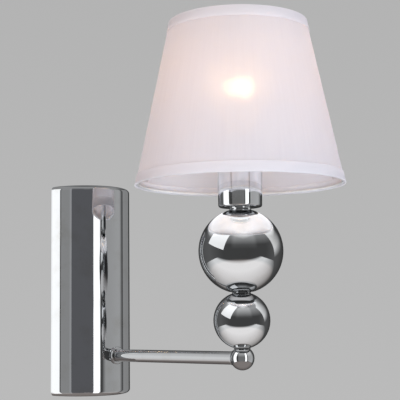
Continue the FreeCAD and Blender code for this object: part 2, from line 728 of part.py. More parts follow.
def make_earth_lead(doc):
    """Earth lead from the cable's end to the earth screw."""
    axis = -size("arm_drop")
    points = [Vector(0, -size("flex_start") + 0.3, axis - 1.1), Vector(0, -21, axis - 1.1),
              Vector(8, -13, axis - 8), Vector(size("earth_aside") - 4.6, -8, size("earth_low") + 1),
              Vector(size("earth_aside") - 4.6, -size("plate_gauge") - 1.6, size("earth_low") + 1)]
    return sweep_round(doc, "earth_lead", points, size("lead_radius"), 5)


def make_cord_grip(doc):
    """Moulded sleeve that keeps the cable from rubbing on the threaded tube's end."""
    return tube(doc, "cord_grip", "@rod_bore - 0.05", "@flex_radius + 0.05", "6",
                on_arm("@rod_start - 1"), OUT)


SUB_PARTS = (
    make_wall_bracket, make_canopy_shell, make_canopy_screws, make_terminal_block, make_terminal_screws,
    make_earth_screw, make_earth_washer, make_canopy_leads, make_earth_lead, make_collar, make_saddle,
    make_arm_nut, make_lock_washer, make_arm_rod, make_arm_tube, make_arm_ferrule, make_elbow_ball,
    make_arm_flex, make_cord_grip,
    make_stem_rod, make_neck_ring, make_small_ball, make_spool_neck, make_big_ball, make_cup_seat,
    make_stem_nut, make_holder_cup, make_lampholder_body, make_socket_shell, make_socket_contact,
    make_stem_flex, make_shade_ring,
    make_shade_hub, make_shade_spokes, make_mouth_wire, make_foot_wire, make_shade_liner,
    make_shade_fabric, make_mouth_trim, make_foot_trim,
    make_bulb_contact, make_bulb_insulator, make_bulb_cap, make_bulb_glass, make_bulb_mount,
    make_bulb_filament,
)


def fill_sheet(doc):
    """Write the driving dimensions into the sheet, one named cell each."""
    sheet = doc.addObject("Spreadsheet::Sheet", "Sizes")
    for row, (name, value) in enumerate(SIZES.items(), start=1):
        sheet.set("A%d" % row, name)
        sheet.set("B%d" % row, str(value))
        sheet.setAlias("B%d" % row, name)
    doc.recompute()


def check_states(doc):
    """Stop if any object of the document failed to build."""
    for item in doc.Objects:
        if "Invalid" in item.State or "Error" in item.State:
            raise RuntimeError("%s is in state %s" % (item.Name, item.State))


def export(parts):
    """Write every finished sub-part to its own file."""
    os.makedirs("parts", exist_ok=True)
    for part in parts:
        if part.Shape.isNull() or not part.Shape.isValid() or not part.Shape.Solids:
            raise RuntimeError(part.Label + " has no valid solid")
        part.Shape.exportStep(os.path.join("parts", part.Label + ".step"))
        print("%-18s %2d solid(s) %10.1f mm3" % (part.Label, len(part.Shape.Solids), part.Shape.Volume))


def main():
    """Build the document, check it and write the parts."""
    doc = FreeCAD.newDocument("wall_sconce")
    fill_sheet(doc)
    parts = [make(doc) for make in SUB_PARTS]
    doc.recompute()
    check_states(doc)
    export(parts)


main()
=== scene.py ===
"""A chrome wall sconce with a tapered fabric shade, finished around the frame of its design.

Everything is in metres in the design's own frame: the wall is the plane y = 0, the lamp stands
out towards -Y and +Z is up. Sizes that the design already holds are read from its nodes.
"""
import logging
import math
from collections.abc import Callable, Mapping, Sequence
from dataclasses import dataclass
from enum import Enum
from typing import Any

import bmesh
import bpy
from mathutils import Matrix, Vector


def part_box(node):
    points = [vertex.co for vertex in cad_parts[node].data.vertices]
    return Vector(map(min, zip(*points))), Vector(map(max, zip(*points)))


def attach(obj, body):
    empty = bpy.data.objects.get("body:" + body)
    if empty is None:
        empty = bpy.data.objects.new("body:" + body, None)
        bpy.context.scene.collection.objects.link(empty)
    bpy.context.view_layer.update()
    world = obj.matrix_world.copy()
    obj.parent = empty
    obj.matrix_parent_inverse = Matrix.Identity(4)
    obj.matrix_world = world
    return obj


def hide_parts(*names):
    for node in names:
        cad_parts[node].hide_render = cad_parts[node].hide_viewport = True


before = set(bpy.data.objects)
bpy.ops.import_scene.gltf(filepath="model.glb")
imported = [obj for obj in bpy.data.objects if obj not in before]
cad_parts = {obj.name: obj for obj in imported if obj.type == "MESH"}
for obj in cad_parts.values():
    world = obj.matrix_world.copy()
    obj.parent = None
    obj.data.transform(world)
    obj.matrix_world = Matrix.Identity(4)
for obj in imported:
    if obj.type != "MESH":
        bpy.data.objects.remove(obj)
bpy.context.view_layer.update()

LOG = logging.getLogger("wall_sconce")
MM = 0.001

CHROMED = ("canopy_shell", "arm_collar", "arm_tube", "arm_ferrule", "elbow_ball", "neck_ring", "small_ball",
           "spool_neck", "big_ball", "cup_seat", "holder_cup")
ROD_BORE = 3.6 * MM
SHELL_SHEET = 0.35 * MM
BAND_LENGTH = 0.314  # metres between a wave texture's bands at scale 1
STEELWORK = ("wall_bracket", "inner_saddle", "earth_screw", "earth_washer", "terminal_screws")
Outline = Sequence[tuple[float, float]]
Stops = Sequence[tuple[float, float]]
Socket = bpy.types.NodeSocket


# ---------------------------------------------------------------- colours and shader nodes

def linear(code: str) -> tuple[float, float, float, float]:
    """Turn an sRGB hex colour into linear light.

    Args:
        code: Colour as "#RRGGBB".

    Returns:
        Red, green, blue and an alpha of 1.
    """
    parts = [int(code[i:i + 2], 16) / 255 for i in (1, 3, 5)]
    light = [p / 12.92 if p <= 0.04045 else ((p + 0.055) / 1.055) ** 2.4 for p in parts]
    return (light[0], light[1], light[2], 1.0)


def add_node(tree: bpy.types.NodeTree, kind: str, settings: Mapping[str, Any] | None = None,
             **inputs: Any) -> bpy.types.Node:
    """Add a shader node with its settings, socket values and links.

    Args:
        tree: Node tree that gets the node.
        kind: Type of the node, without its "ShaderNode" prefix.
        settings: Properties of the node itself.
        inputs: Socket values or links; "Base_Color" names the socket "Base Color" and "in_0" the first.

    Returns:
        The new node.
    """
    node = tree.nodes.new("ShaderNode" + kind)
    for name, value in (settings or {}).items():
        setattr(node, name, value)
    for name, value in inputs.items():
        socket = node.inputs[int(name[3:]) if name.startswith("in_") else name.replace("_", " ")]
        if isinstance(value, bpy.types.NodeSocket):
            tree.links.new(value, socket)
        else:
            socket.default_value = value
    return node


def output(tree: bpy.types.NodeTree, kind: str, settings: Mapping[str, Any] | None = None,
           **inputs: Any) -> Socket:
    """Add a shader node as add_node does and hand out its first output."""
    return add_node(tree, kind, settings, **inputs).outputs[0]


def blend(tree: bpy.types.NodeTree, share: Any, first: Socket, second: Socket) -> Socket:
    """Mix two shaders by the second one's share."""
    return output(tree, "MixShader", Fac=share, in_1=first, in_2=second)


def blank_tree(owner: Any) -> bpy.types.NodeTree:
    """Give a material, world or light an empty node tree.

    Args:
        owner: Whatever gets the tree.

    Returns:
        Its node tree, emptied.
    """
    owner.use_nodes = True
    owner.node_tree.nodes.clear()
    return owner.node_tree


def mixed(tree: bpy.types.NodeTree, share: Any, first: Any, second: Any, way: str = "MIX") -> Socket:
    """Blend two colours by a share, which may be a socket; hex codes are turned to linear.

    Args:
        tree: Node tree that gets the blend.
        share: The second colour's share.
        first: First colour.
        second: Second colour.
        way: How they are blended.

    Returns:
        The blended colour.
    """
    first, second = (linear(c) if isinstance(c, str) else c for c in (first, second))
    node = add_node(tree, "MixRGB", {"blend_type": way}, Fac=share, Color1=first, Color2=second)
    return node.outputs["Color"]


def maths(tree: bpy.types.NodeTree, way: str, first: Any, second: Any = 0.0) -> Socket:
    """One sum on two numbers or sockets."""
    return output(tree, "Math", {"operation": way}, in_0=first, in_1=second)


def ranged(tree: bpy.types.NodeTree, value: Socket, low: float, high: float, start: float = 0.0,
           end: float = 1.0) -> Socket:
    """Stretch a 0 to 1 pattern value between two outputs, clamped."""
    node = add_node(tree, "MapRange", Value=value, From_Min=start, From_Max=end, To_Min=low, To_Max=high)
    return node.outputs["Result"]


def noise(tree: bpy.types.NodeTree, place: Socket, size: float, detail: float = 3.0,
          stretch: tuple[float, float, float] = (1.0, 1.0, 1.0)) -> Socket:
    """Soft random pattern.

    Args:
        tree: Node tree that gets the pattern.
        place: Coordinates in metres.
        size: Real size of the pattern's grains in metres.
        detail: How many finer layers it has.
        stretch: How many times longer the grains are along each axis.

    Returns:
        The pattern's value, 0 to 1.
    """
    scale = tuple(1 / (size * s) for s in stretch)
    laid = add_node(tree, "Mapping", {"vector_type": "POINT"}, Vector=place, Scale=scale)
    return add_node(tree, "TexNoise", Vector=laid.outputs[0], Scale=1.0, Detail=detail).outputs["Fac"]


def bands(tree: bpy.types.NodeTree, place: Socket, way: str, size: float, uneven: float,
          fineness: float = 1.0) -> Socket:
    """Soft, slightly uneven bands.

    Args:
        tree: Node tree that gets the bands.
        place: Coordinates in metres.
        way: Direction in which the bands follow each other.
        size: Real distance from band to band in metres.
        uneven: How far the bands stray.
        fineness: How quickly they stray to and fro.

    Returns:
        The bands' value, 0 to 1.
    """
    node = add_node(tree, "TexWave", {"bands_direction": way}, Vector=place, Distortion=uneven, Detail=1.0,
                    Scale=BAND_LENGTH / size, Detail_Scale=fineness)
    return node.outputs["Fac"]


def bumped(tree: bpy.types.NodeTree, height: Socket, depth: float) -> Socket:
    """Turn a 0 to 1 height pattern into a surface normal; depth is the real relief in metres."""
    return add_node(tree, "Bump", Height=height, Distance=depth).outputs["Normal"]


def ramp(tree: bpy.types.NodeTree, value: Socket, stops: Stops) -> Socket:
    """Grey that changes along a value.

    Args:
        tree: Node tree that gets the ramp.
        value: Value that the ramp follows.
        stops: Pairs of value and grey, in order, at most 32.

    Returns:
        The grey as a colour; one that is over 1 is kept.
    """
    start, end = stops[0][0], stops[-1][0]
    node = add_node(tree, "ValToRGB", Fac=ranged(tree, value, 0.0, 1.0, start, end))
    elements = node.color_ramp.elements
    while len(elements) < len(stops):
        elements.new(0.5)
    for element, (where, grey) in zip(elements, stops):
        element.position = (where - start) / (end - start)
        element.color = (grey, grey, grey, 1)
    return node.outputs["Color"]


class Finish:
    """A surface finish that builds one material and keeps it."""

    slot: str
    made: dict[Any, bpy.types.Material] = {}

    def material(self) -> bpy.types.Material:
        """Build the material once and hand it out afterwards.

        Returns:
            The material of this finish.
        """
        if self not in Finish.made:
            material = bpy.data.materials.new(self.slot)
            tree = blank_tree(material)
            out = add_node(tree, "OutputMaterial")
            place = add_node(tree, "TexCoord").outputs["Object"]
            tree.links.new(self.surface(tree, place), out.inputs["Surface"])
            Finish.made[self] = material
        return Finish.made[self]

    def surface(self, tree: bpy.types.NodeTree, place: Socket) -> Socket:
        """Build the shader.

        Args:
            tree: Node tree of the new material.
            place: Coordinates in metres, in the design's frame.

        Returns:
            The shader socket for the surface.
        """
        raise NotImplementedError


class Grain(Enum):
    """Which way the last polishing strokes run; the values stretch a pattern along them."""

    UPRIGHT = (1.0, 1.0, 60.0)
    AROUND_UPRIGHT = (40.0, 40.0, 1.0)
    AROUND_ARM = (40.0, 1.0, 40.0)


@dataclass(frozen=True)
class ChromePlate(Finish):
    """Bright chromium over polished brass, plated and buffed.

    It gives the eye a neutral mirror that sends back a bit over half of the light, with hair-thin
    buffing lines and a faint haze where it has been handled.
    """

    slot: str = "chrome"
    grain: Grain = Grain.AROUND_UPRIGHT
    colour: str = "#C6C8CA"
    handled: str = "#BFC0C0"
    roughness: float = 0.025
    haze: float = 0.07
    line_mm: float = 0.5  # buffing lines are about 0.05 mm apart, drawn ten times coarser so that they show
    smudge_mm: float = 22.0
    wave_mm: float = 14.0

    def surface(self, tree: bpy.types.NodeTree, place: Socket) -> Socket:
        """Mirror metal with lines, smudges and the slight waviness of thin spun brass.

        Args:
            tree: Node tree of the new material.
            place: Coordinates in metres, in the design's frame.

        Returns:
            The shader socket for the surface.
        """
        lines = noise(tree, place, self.line_mm * MM, 2.0, self.grain.value)
        smudge = noise(tree, place, self.smudge_mm * MM, 4.0)
        wave = noise(tree, place, self.wave_mm * MM, 0.0)
        touched = ranged(tree, smudge, 0.0, 1.0, 0.52, 0.72)
        rough = ranged(tree, touched, self.roughness, self.haze)
        rough = maths(tree, "ADD", rough, ranged(tree, lines, 0.0, 0.03, 0.45, 0.8))
        fine = bumped(tree, lines, 0.0006 * MM)
        soft = add_node(tree, "Bump", Height=wave, Distance=0.02 * MM, Normal=fine).outputs["Normal"]
        colour = mixed(tree, touched, self.colour, self.handled)
        return output(tree, "BsdfPrincipled", Base_Color=colour, Metallic=1.0, Roughness=rough,
                      Normal=soft)


@dataclass(frozen=True)
class PlainMetal(Finish):
    """Plated or bare metal that is not polished: zinc-plated steel, nickel or brass.

    It gives the eye a dull, slightly streaky metal with a satin sheen.
    """

    slot: str = "zinc_steel"
    colour: str = "#AEB2B4"
    deep: str = "#8E9396"
    roughness: float = 0.34
    grain_mm: float = 1.6
    grain: Grain = Grain.UPRIGHT

    def surface(self, tree: bpy.types.NodeTree, place: Socket) -> Socket:
        """Satin metal whose tone and roughness vary with its rolling marks.

        Args:
            tree: Node tree of the new material.
            place: Coordinates in metres, in the design's frame.

        Returns:
            The shader socket for the surface.
        """
        marks = noise(tree, place, self.grain_mm * MM, 3.0, tuple(min(s, 12.0) for s in self.grain.value))
        cloud = noise(tree, place, 9 * MM, 2.0)
        tone = maths(tree, "MULTIPLY", marks, cloud)
        colour = mixed(tree, ranged(tree, tone, 0.0, 1.0, 0.15, 0.4), self.deep, self.colour)
        rough = ranged(tree, marks, self.roughness - 0.08, self.roughness + 0.12, 0.3, 0.7)
        normal = bumped(tree, marks, 0.01 * MM)
        return output(tree, "BsdfPrincipled", Base_Color=colour, Metallic=1.0, Roughness=rough,
                      Normal=normal)


@dataclass(frozen=True)
class MouldedPlastic(Finish):
    """Injection-moulded thermoplastic such as PBT, polyamide or PVC sheathing.

    It gives the eye a flat colour broken by faint flow clouds and the fine pebble of the mould.
    """

    slot: str = "holder_moulding"
    colour: str = "#E8E6E0"
    shade: str = "#DAD6CC"
    roughness: float = 0.38
    pebble_mm: float = 0.4

    def surface(self, tree: bpy.types.NodeTree, place: Socket) -> Socket:
        """Dielectric with a pebbled skin.

        Args:
            tree: Node tree of the new material.
            place: Coordinates in metres, in the design's frame.

        Returns:
            The shader socket for the surface.
        """
        pebble = noise(tree, place, self.pebble_mm * MM, 2.0)
        cloud = noise(tree, place, 7 * MM, 3.0)
        colour = mixed(tree, ranged(tree, cloud, 0.0, 1.0, 0.35, 0.7), self.colour, self.shade)
        rough = ranged(tree, pebble, self.roughness - 0.05, self.roughness + 0.08)
        normal = bumped(tree, pebble, 0.012 * MM)
        return output(tree, "BsdfPrincipled", Base_Color=colour, Roughness=rough, IOR=1.5,
                      Normal=normal)


@dataclass(frozen=True)
class Enamel(Finish):
    """White stoving enamel sprayed on steel wire and sheet.

    It gives the eye a glossy white with a slight orange peel.
    """

    slot: str = "white_enamel"
    colour: str = "#F1F0EE"
    chalk: str = "#E4E2DE"

    def surface(self, tree: bpy.types.NodeTree, place: Socket) -> Socket:
        """Glossy paint with orange peel 1.5 mm across.

        Args:
            tree: Node tree of the new material.
            place: Coordinates in metres, in the design's frame.

        Returns:
            The shader socket for the surface.
        """
        peel = noise(tree, place, 1.5 * MM, 1.0)
        cloud = ranged(tree, noise(tree, place, 12 * MM), 0.0, 0.6, 0.4, 0.7)
        colour = mixed(tree, cloud, self.colour, self.chalk)
        rough = ranged(tree, peel, 0.18, 0.3)
        return output(tree, "BsdfPrincipled", Base_Color=colour, Roughness=rough, IOR=1.52,
                      Coat_Weight=0.3, Normal=bumped(tree, peel, 0.01 * MM))


@dataclass(frozen=True)
class ShadeCloth(Finish):
    """Fine white cotton and viscose cloth, plain woven.

    It gives the eye a soft matt white that glows where lamplight comes through it, with slubs that
    run up the shade and pinholes between its threads.
    """

    slot: str = "shade_fabric"
    colour: str = "#F6F4F8"
    slub: str = "#F0EDF2"
    passes: str = "#FFFAFC"
    thread_mm: float = 0.9  # threads are 0.25 mm apart, drawn coarser so that the weave shows
    slub_mm: float = 2.6
    glow: float = 0.42
    pinholes: float = 0.16

    def surface(self, tree: bpy.types.NodeTree, place: Socket) -> Socket:
        """Matt cloth mixed with light that passes through the threads and between them.

        Args:
            tree: Node tree of the new material.
            place: Coordinates in metres, in the design's frame.

        Returns:
            The shader socket for the surface.
        """
        cloth = add_node(tree, "UVMap", {"uv_map": "cloth"}).outputs["UV"]
        warp, weft = (bands(tree, cloth, way, self.thread_mm * MM, 1.5, 2.0) for way in "XY")
        weave = maths(tree, "MULTIPLY", warp, weft)
        slubs = noise(tree, cloth, self.slub_mm * MM, 3.0, (1.0, 24.0, 1.0))
        cloud = noise(tree, place, 38 * MM, 2.0)
        thick = ranged(tree, slubs, 0.0, 1.0, 0.36, 0.74)
        tone = maths(tree, "MULTIPLY", thick, ranged(tree, cloud, 0.5, 1.0, 0.3, 0.7))
        colour = mixed(tree, tone, self.colour, self.slub)
        height = maths(tree, "ADD", maths(tree, "MULTIPLY", weave, 0.6), slubs)
        normal = bumped(tree, height, 0.05 * MM)
        front = output(tree, "BsdfPrincipled", Base_Color=colour, Roughness=0.85, IOR=1.45,
                       Specular_IOR_Level=0.25, Sheen_Weight=0.25, Sheen_Roughness=0.5, Normal=normal)
        through = output(tree, "BsdfTranslucent", Color=linear(self.passes), Normal=normal)
        share = ranged(tree, thick, self.glow + 0.01, self.glow - 0.012)
        body = blend(tree, share, front, through)
        holes = ranged(tree, weave, self.pinholes * 1.15, self.pinholes * 0.85)
        return blend(tree, holes, body, output(tree, "BsdfTransparent"))


@dataclass(frozen=True)
class LinerFilm(Finish):
    """Frosted PVC film that the cloth is laid on.

    It gives the eye a smooth milky skin inside the shade that spreads the lamp's light.
    """

    slot: str = "shade_liner"
    colour: str = "#F1EFF0"
    glow: float = 0.5
    clear: float = 0.4
    straight: float = 0.2
    bend: float = 1.12
    haze: float = 0.45

    def surface(self, tree: bpy.types.NodeTree, place: Socket) -> Socket:
        """Milky film, half diffuse and partly clear.

        Args:
            tree: Node tree of the new material.
            place: Coordinates in metres, in the design's frame.

        Returns:
            The shader socket for the surface.
        """
        frost = noise(tree, place, 0.8 * MM, 2.0)
        cloud = noise(tree, place, 30 * MM, 2.0)
        colour = mixed(tree, ranged(tree, cloud, 0.0, 1.0, 0.35, 0.7), self.colour, "#E7E5E9")
        front = output(tree, "BsdfPrincipled", Base_Color=colour, IOR=1.53,
                       Roughness=ranged(tree, frost, 0.42, 0.6), Normal=bumped(tree, frost, 0.01 * MM))
        through = output(tree, "BsdfTranslucent", Color=linear("#FFF8F2"))
        body = blend(tree, self.glow, front, through)
        hazy = output(tree, "BsdfRefraction", IOR=self.bend, Roughness=self.haze)
        seen = blend(tree, self.straight, hazy, output(tree, "BsdfTransparent"))
        return blend(tree, self.clear, body, seen)


@dataclass(frozen=True)
class EdgeTape(Finish):
    """White cotton twill tape, woven and glued over the shade's edges.

    It gives the eye a denser white band with fine slanting ribs.
    """

    slot: str = "shade_tape"
    colour: str = "#FFFEFE"
    rib: str = "#F5F3F6"
    rib_mm: float = 0.9  # twill ribs are 0.5 mm apart, drawn coarser so that they show
    glow: float = 0.27
    open: float = 0.36

    def surface(self, tree: bpy.types.NodeTree, place: Socket) -> Socket:
        """Dense cloth with diagonal ribs that lets a little light through.

        Args:
            tree: Node tree of the new material.
            place: Coordinates in metres, in the design's frame; not used here.

        Returns:
            The shader socket for the surface.
        """
        cloth = add_node(tree, "UVMap", {"uv_map": "cloth"}).outputs["UV"]
        ribs = bands(tree, cloth, "DIAGONAL", self.rib_mm * MM, 0.6)
        colour = mixed(tree, ranged(tree, ribs, 0.0, 0.6), self.colour, self.rib)
        normal = bumped(tree, ribs, 0.06 * MM)
        front = output(tree, "BsdfPrincipled", Base_Color=colour, Roughness=0.8, IOR=1.45,
                       Specular_IOR_Level=0.3, Sheen_Weight=0.2, Normal=normal)
        through = output(tree, "BsdfTranslucent", Color=linear("#FBF6FA"))
        body = blend(tree, self.glow, front, through)
        return blend(tree, self.open, body, output(tree, "BsdfTransparent"))


@dataclass(frozen=True)
class FrostedGlass(Finish):
    """Soda-lime glass, blown and frosted inside, lit by the filament.

    It gives the eye a warm milky ball with a hot spot that its frost spreads.
    """

    slot: str = "frosted_glass"
    lit: str = "#FFDDBA"
    power: float = 0.82
    frost: float = 0.62
    glow_mm: float = 19.0

    def surface(self, tree: bpy.types.NodeTree, place: Socket) -> Socket:
        """Rough glass that also glows where the frost catches the filament's light.

        Args:
            tree: Node tree of the new material.
            place: Coordinates in metres, in the design's frame.

        Returns:
            The shader socket for the surface.
        """
        grains = noise(tree, place, 0.7 * MM, 2.0)
        glass = output(tree, "BsdfRefraction", Color=linear("#FFF4E6"), IOR=1.45,
                       Roughness=ranged(tree, grains, self.frost - 0.04, self.frost + 0.04))
        gloss = output(tree, "BsdfGlossy", Roughness=0.3, Color=linear("#D8D8D8"))
        shell = blend(tree, output(tree, "Fresnel", IOR=1.3), glass, gloss)
        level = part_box("bulb_filament")[1].z
        rise = maths(tree, "SUBTRACT", add_node(tree, "SeparateXYZ", Vector=place).outputs["Z"], level)
        reach = maths(tree, "ABSOLUTE", maths(tree, "DIVIDE", rise, self.glow_mm * MM))
        near = ramp(tree, reach, ((0, 1.0), (0.5, 0.85), (1, 0.55), (1.6, 0.38), (3, 0.34)))
        strength = maths(tree, "MULTIPLY", near, self.power)
        light = output(tree, "Emission", Color=linear(self.lit), Strength=strength)
        return output(tree, "AddShader", in_0=shell, in_1=light)


@dataclass(frozen=True)
class ClearGlass(Finish):
    """Pressed lead glass of the lamp's stem, clear with a few drawn streaks."""

    slot: str = "clear_glass"

    def surface(self, tree: bpy.types.NodeTree, place: Socket) -> Socket:
        """Clear glass whose surface waves slightly.

        Args:
            tree: Node tree of the new material.
            place: Coordinates in metres, in the design's frame.

        Returns:
            The shader socket for the surface.
        """
        streaks = noise(tree, place, 1.2 * MM, 1.0, (1.0, 1.0, 6.0))
        return output(tree, "BsdfPrincipled", Base_Color=linear("#F4F7F4"), Roughness=0.04, IOR=1.55,
                      Transmission_Weight=1.0, Normal=bumped(tree, streaks, 0.02 * MM))


@dataclass(frozen=True)
class GlowingWire(Finish):
    """Coiled tungsten wire at about 2700 K: a small, very bright warm light."""

    slot: str = "filament"
    lit: str = "#FFD09A"
    power: float = 170.0

    def surface(self, tree: bpy.types.NodeTree, place: Socket) -> Socket:
        """Bright wire whose colour varies a little from turn to turn.

        Args:
            tree: Node tree of the new material.
            place: Coordinates in metres, in the design's frame.

        Returns:
            The shader socket for the surface.
        """
        turns = noise(tree, place, 1.0 * MM, 1.0)
        colour = mixed(tree, ranged(tree, turns, 0.0, 0.5), self.lit, "#FFDFB4")
        return output(tree, "Emission", Color=colour, Strength=self.power)


# ---------------------------------------------------------------- mesh making

def linked(name: str, data: bpy.types.ID) -> bpy.types.Object:
    """Put an object into the scene.

    Args:
        name: Name of the object.
        data: Its mesh, light or camera.

    Returns:
        The new object.
    """
    item = bpy.data.objects.new(name, data)
    bpy.context.scene.collection.objects.link(item)
    return item


def join_rings(bm: bmesh.types.BMesh, rings: Sequence[Sequence[bmesh.types.BMVert]], closed: bool) -> None:
    """Fill the bands between rings of corners with four-sided faces.

    Args:
        bm: Mesh that gets the faces.
        rings: Rings with the same number of corners each.
        closed: Whether the last ring joins the first.
    """
    pairs = list(zip(rings, rings[1:])) + ([(rings[-1], rings[0])] if closed else [])
    for low, high in pairs:
        for i in range(len(low)):
            j = (i + 1) % len(low)
            bm.faces.new((low[i], low[j], high[j], high[i]))


def new_piece(name: str, bm: bmesh.types.BMesh, crease_deg: float = 35.0) -> bpy.types.Object:
    """Turn a built mesh into a smooth-shaded object with sharp creases.

    Args:
        name: Name of the piece.
        bm: Finished mesh, freed here.
        crease_deg: Edges bent more than this stay sharp.

    Returns:
        The linked object.
    """
    bmesh.ops.remove_doubles(bm, verts=bm.verts, dist=1e-7)
    bmesh.ops.dissolve_degenerate(bm, edges=bm.edges, dist=1e-8)
    bmesh.ops.recalc_face_normals(bm, faces=bm.faces)
    mesh = bpy.data.meshes.new(name)
    bm.to_mesh(mesh)
    bm.free()
    mesh.shade_smooth()
    mesh.set_sharp_from_angle(angle=math.radians(crease_deg))
    return linked(name, mesh)


def softened(outline: Outline, radius: float, steps: int) -> list[tuple[float, float]]:
    """Round the corners of a closed outline with small curves.

    Args:
        outline: Corners as (radius, height) pairs.
        radius: Radius of each rounded corner, made smaller where a side is short.
        steps: Straight steps in each corner's curve.

    Returns:
        The outline with curved corners.
    """
    points = [Vector(p) for p in outline]
    rounded: list[tuple[float, float]] = []
    for i, corner in enumerate(points):
        before, after = points[i - 1] - corner, points[(i + 1) % len(points)] - corner
        reach = min(radius, before.length * 0.45, after.length * 0.45)
        start, end = corner + before.normalized() * reach, corner + after.normalized() * reach
        for step in range(steps + 1):
            t = step / steps
            rounded.append(tuple(start.lerp(corner, t).lerp(corner.lerp(end, t), t)))
    return rounded


@dataclass
class Turning:
    """Something turned about an axis of its own.

    Args:
        centre: Point where the axis passes through height 0.
        axis: Direction of the axis.
        segments: Steps round the axis.
    """

    centre: Vector
    axis: Vector = Vector((0, 0, 1))
    segments: int = 96

    def add(self, bm: bmesh.types.BMesh, outline: Outline, closed: bool = True,
            swell: Callable[[float, float, float], float] | None = None) -> None:
        """Add one turned surface to a mesh.

        Args:
            bm: Mesh that gets the surface.
            outline: Corners as (radius, height) pairs.
            closed: Whether the last corner joins the first.
            swell: Radius at (radius, height, turn), where turn is in radians, for threads and knurls.
        """
        turn = self.axis.normalized().to_track_quat("Z", "X")
        rings = []
        for radius, height in outline:
            ring = []
            for i in range(self.segments):
                angle = 2 * math.pi * i / self.segments
                r = swell(radius, height, angle) if swell and radius > 0 else radius
                spot = turn @ Vector((r * math.cos(angle), r * math.sin(angle), height))
                ring.append(bm.verts.new(self.centre + spot))
            rings.append(ring)
        join_rings(bm, rings, closed)

    def piece(self, name: str, outline: Outline, closed: bool = True,
              swell: Callable[[float, float, float], float] | None = None,
              crease_deg: float = 35.0) -> bpy.types.Object:
        """Make one turned piece from one outline.

        Args:
            name: Name of the piece.
            outline: Corners as (radius, height) pairs.
            closed: Whether the last corner joins the first.
            swell: Radius at (radius, height, turn), as in add.
            crease_deg: Edges bent more than this stay sharp.

        Returns:
            The turned piece.
        """
        bm = bmesh.new()
        self.add(bm, outline, closed, swell)
        return new_piece(name, bm, crease_deg)


def climb(radius: float, low: float, high: float, steps: int) -> list[tuple[float, float]]:
    """A straight upright stretch of an outline in equal steps."""
    return [(radius, low + (high - low) * i / steps) for i in range(steps + 1)]


def add_tube(bm: bmesh.types.BMesh, path: Sequence[Vector], radius: float, segments: int) -> None:
    """Add a round wire along a path.

    Args:
        bm: Mesh that gets the wire.
        path: Points of the wire's middle line.
        radius: The wire's radius.
        segments: Steps round the wire.
    """
    normal = (path[1] - path[0]).orthogonal().normalized()
    rings = []
    for i, point in enumerate(path):
        along = (path[min(i + 1, len(path) - 1)] - path[max(i - 1, 0)]).normalized()
        normal = (normal - along * normal.dot(along)).normalized()
        side = along.cross(normal)
        rings.append([bm.verts.new(point + (normal * math.cos(a) + side * math.sin(a)) * radius)
                      for a in (2 * math.pi * k / segments for k in range(segments))])
    join_rings(bm, rings, closed=False)
    bm.faces.new(list(reversed(rings[0])))
    bm.faces.new(rings[-1])


def carve(piece: bpy.types.Object, cutter: bpy.types.Object) -> None:
    """Cut one made solid out of another and throw the cutter away.

    Args:
        piece: Object that is cut.
        cutter: Closed solid that is taken out of it.
    """
    cut = piece.modifiers.new("cut", "BOOLEAN")
    cut.operation, cut.solver, cut.object = "DIFFERENCE", "EXACT", cutter
    ready = piece.evaluated_get(bpy.context.evaluated_depsgraph_get())
    mesh = bpy.data.meshes.new_from_object(ready)
    piece.modifiers.clear()
    piece.data = mesh
    bpy.data.objects.remove(cutter)
    mesh.set_sharp_from_angle(angle=math.radians(35))


def slab(name: str, centre: Vector, size: Vector) -> bpy.types.Object:
    """A plain block used as a cutter.

    Args:
        name: Name of the block.
        centre: Its middle.
        size: Its length along each axis.

    Returns:
        The block as an object.
    """
    bm = bmesh.new()
    bmesh.ops.create_cube(bm, size=1.0, matrix=Matrix.Translation(centre) @ Matrix.Diagonal((*size, 1)))
    return new_piece(name, bm)


def hex_nut(name: str, turning: Turning, flat: float, tall: float, bore: float) -> bpy.types.Object:
    """Hexagon nut with both faces chamfered.

    Args:
        name: Name of the piece.
        turning: Axis of the nut, with height 0 at its lower face.
        flat: Half of the width across its flats.
        tall: Height of the nut.
        bore: Radius of its hole.

    Returns:
        The nut as an object.
    """
    corner = flat / math.cos(math.pi / 6)

    def six_sided(radius: float, height: float, turn: float) -> float:
        """Radius cut off at the flats."""
        across = turn % (math.pi / 3) - math.pi / 6
        return min(radius, flat / math.cos(across)) if radius > bore + 1e-6 else radius

    chamfer = [(flat * 0.95 + (corner - flat * 0.95) * i / 6, 0.8 * MM * i / 6) for i in range(7)]
    outline = [(bore, 0.5 * MM), (bore + 0.45 * MM, 0.0), *chamfer]
    outline += [(r, tall - h) for r, h in reversed(outline)]
    return turning.piece(name, outline, swell=six_sided, crease_deg=25)


def threaded_tube(name: str, turning: Turning, outer: float, bore: float, length: float,
                  end: float) -> bpy.types.Object:
    """Steel tube with a fine thread on both ends.

    Args:
        name: Name of the piece.
        turning: Axis of the tube, with height 0 at its start.
        outer: Radius over the thread.
        bore: Radius of its hole.
        length: Length of the tube.
        end: Length of each threaded end.

    Returns:
        The tube as an object.
    """
    pitch, deep = 1 * MM, 0.5 * MM

    def thread(radius: float, height: float, turn: float) -> float:
        """Sharp ridges on the two ends.

        Args:
            radius: Radius of the plain shape.
            height: Height along the axis.
            turn: Turn about the axis in radians.

        Returns:
            Radius with the ridges.
        """
        from_end = min(height, length - height)
        if radius < outer - 1e-6 or from_end > end:
            return radius
        phase = (height / pitch - turn / (2 * math.pi)) % 1
        return radius - deep * abs(2 * phase - 1) * min(1.0, (end - from_end) / pitch)

    rows = int(end / (pitch / 6))
    outline = climb(outer, 0.0, end, rows) + climb(outer, length - end, length, rows)
    outline += [(bore + 0.3 * MM, length), (bore, length - 0.4 * MM), (bore, 0.4 * MM),
                (bore + 0.3 * MM, 0.0)]
    return turning.piece(name, outline, swell=thread)


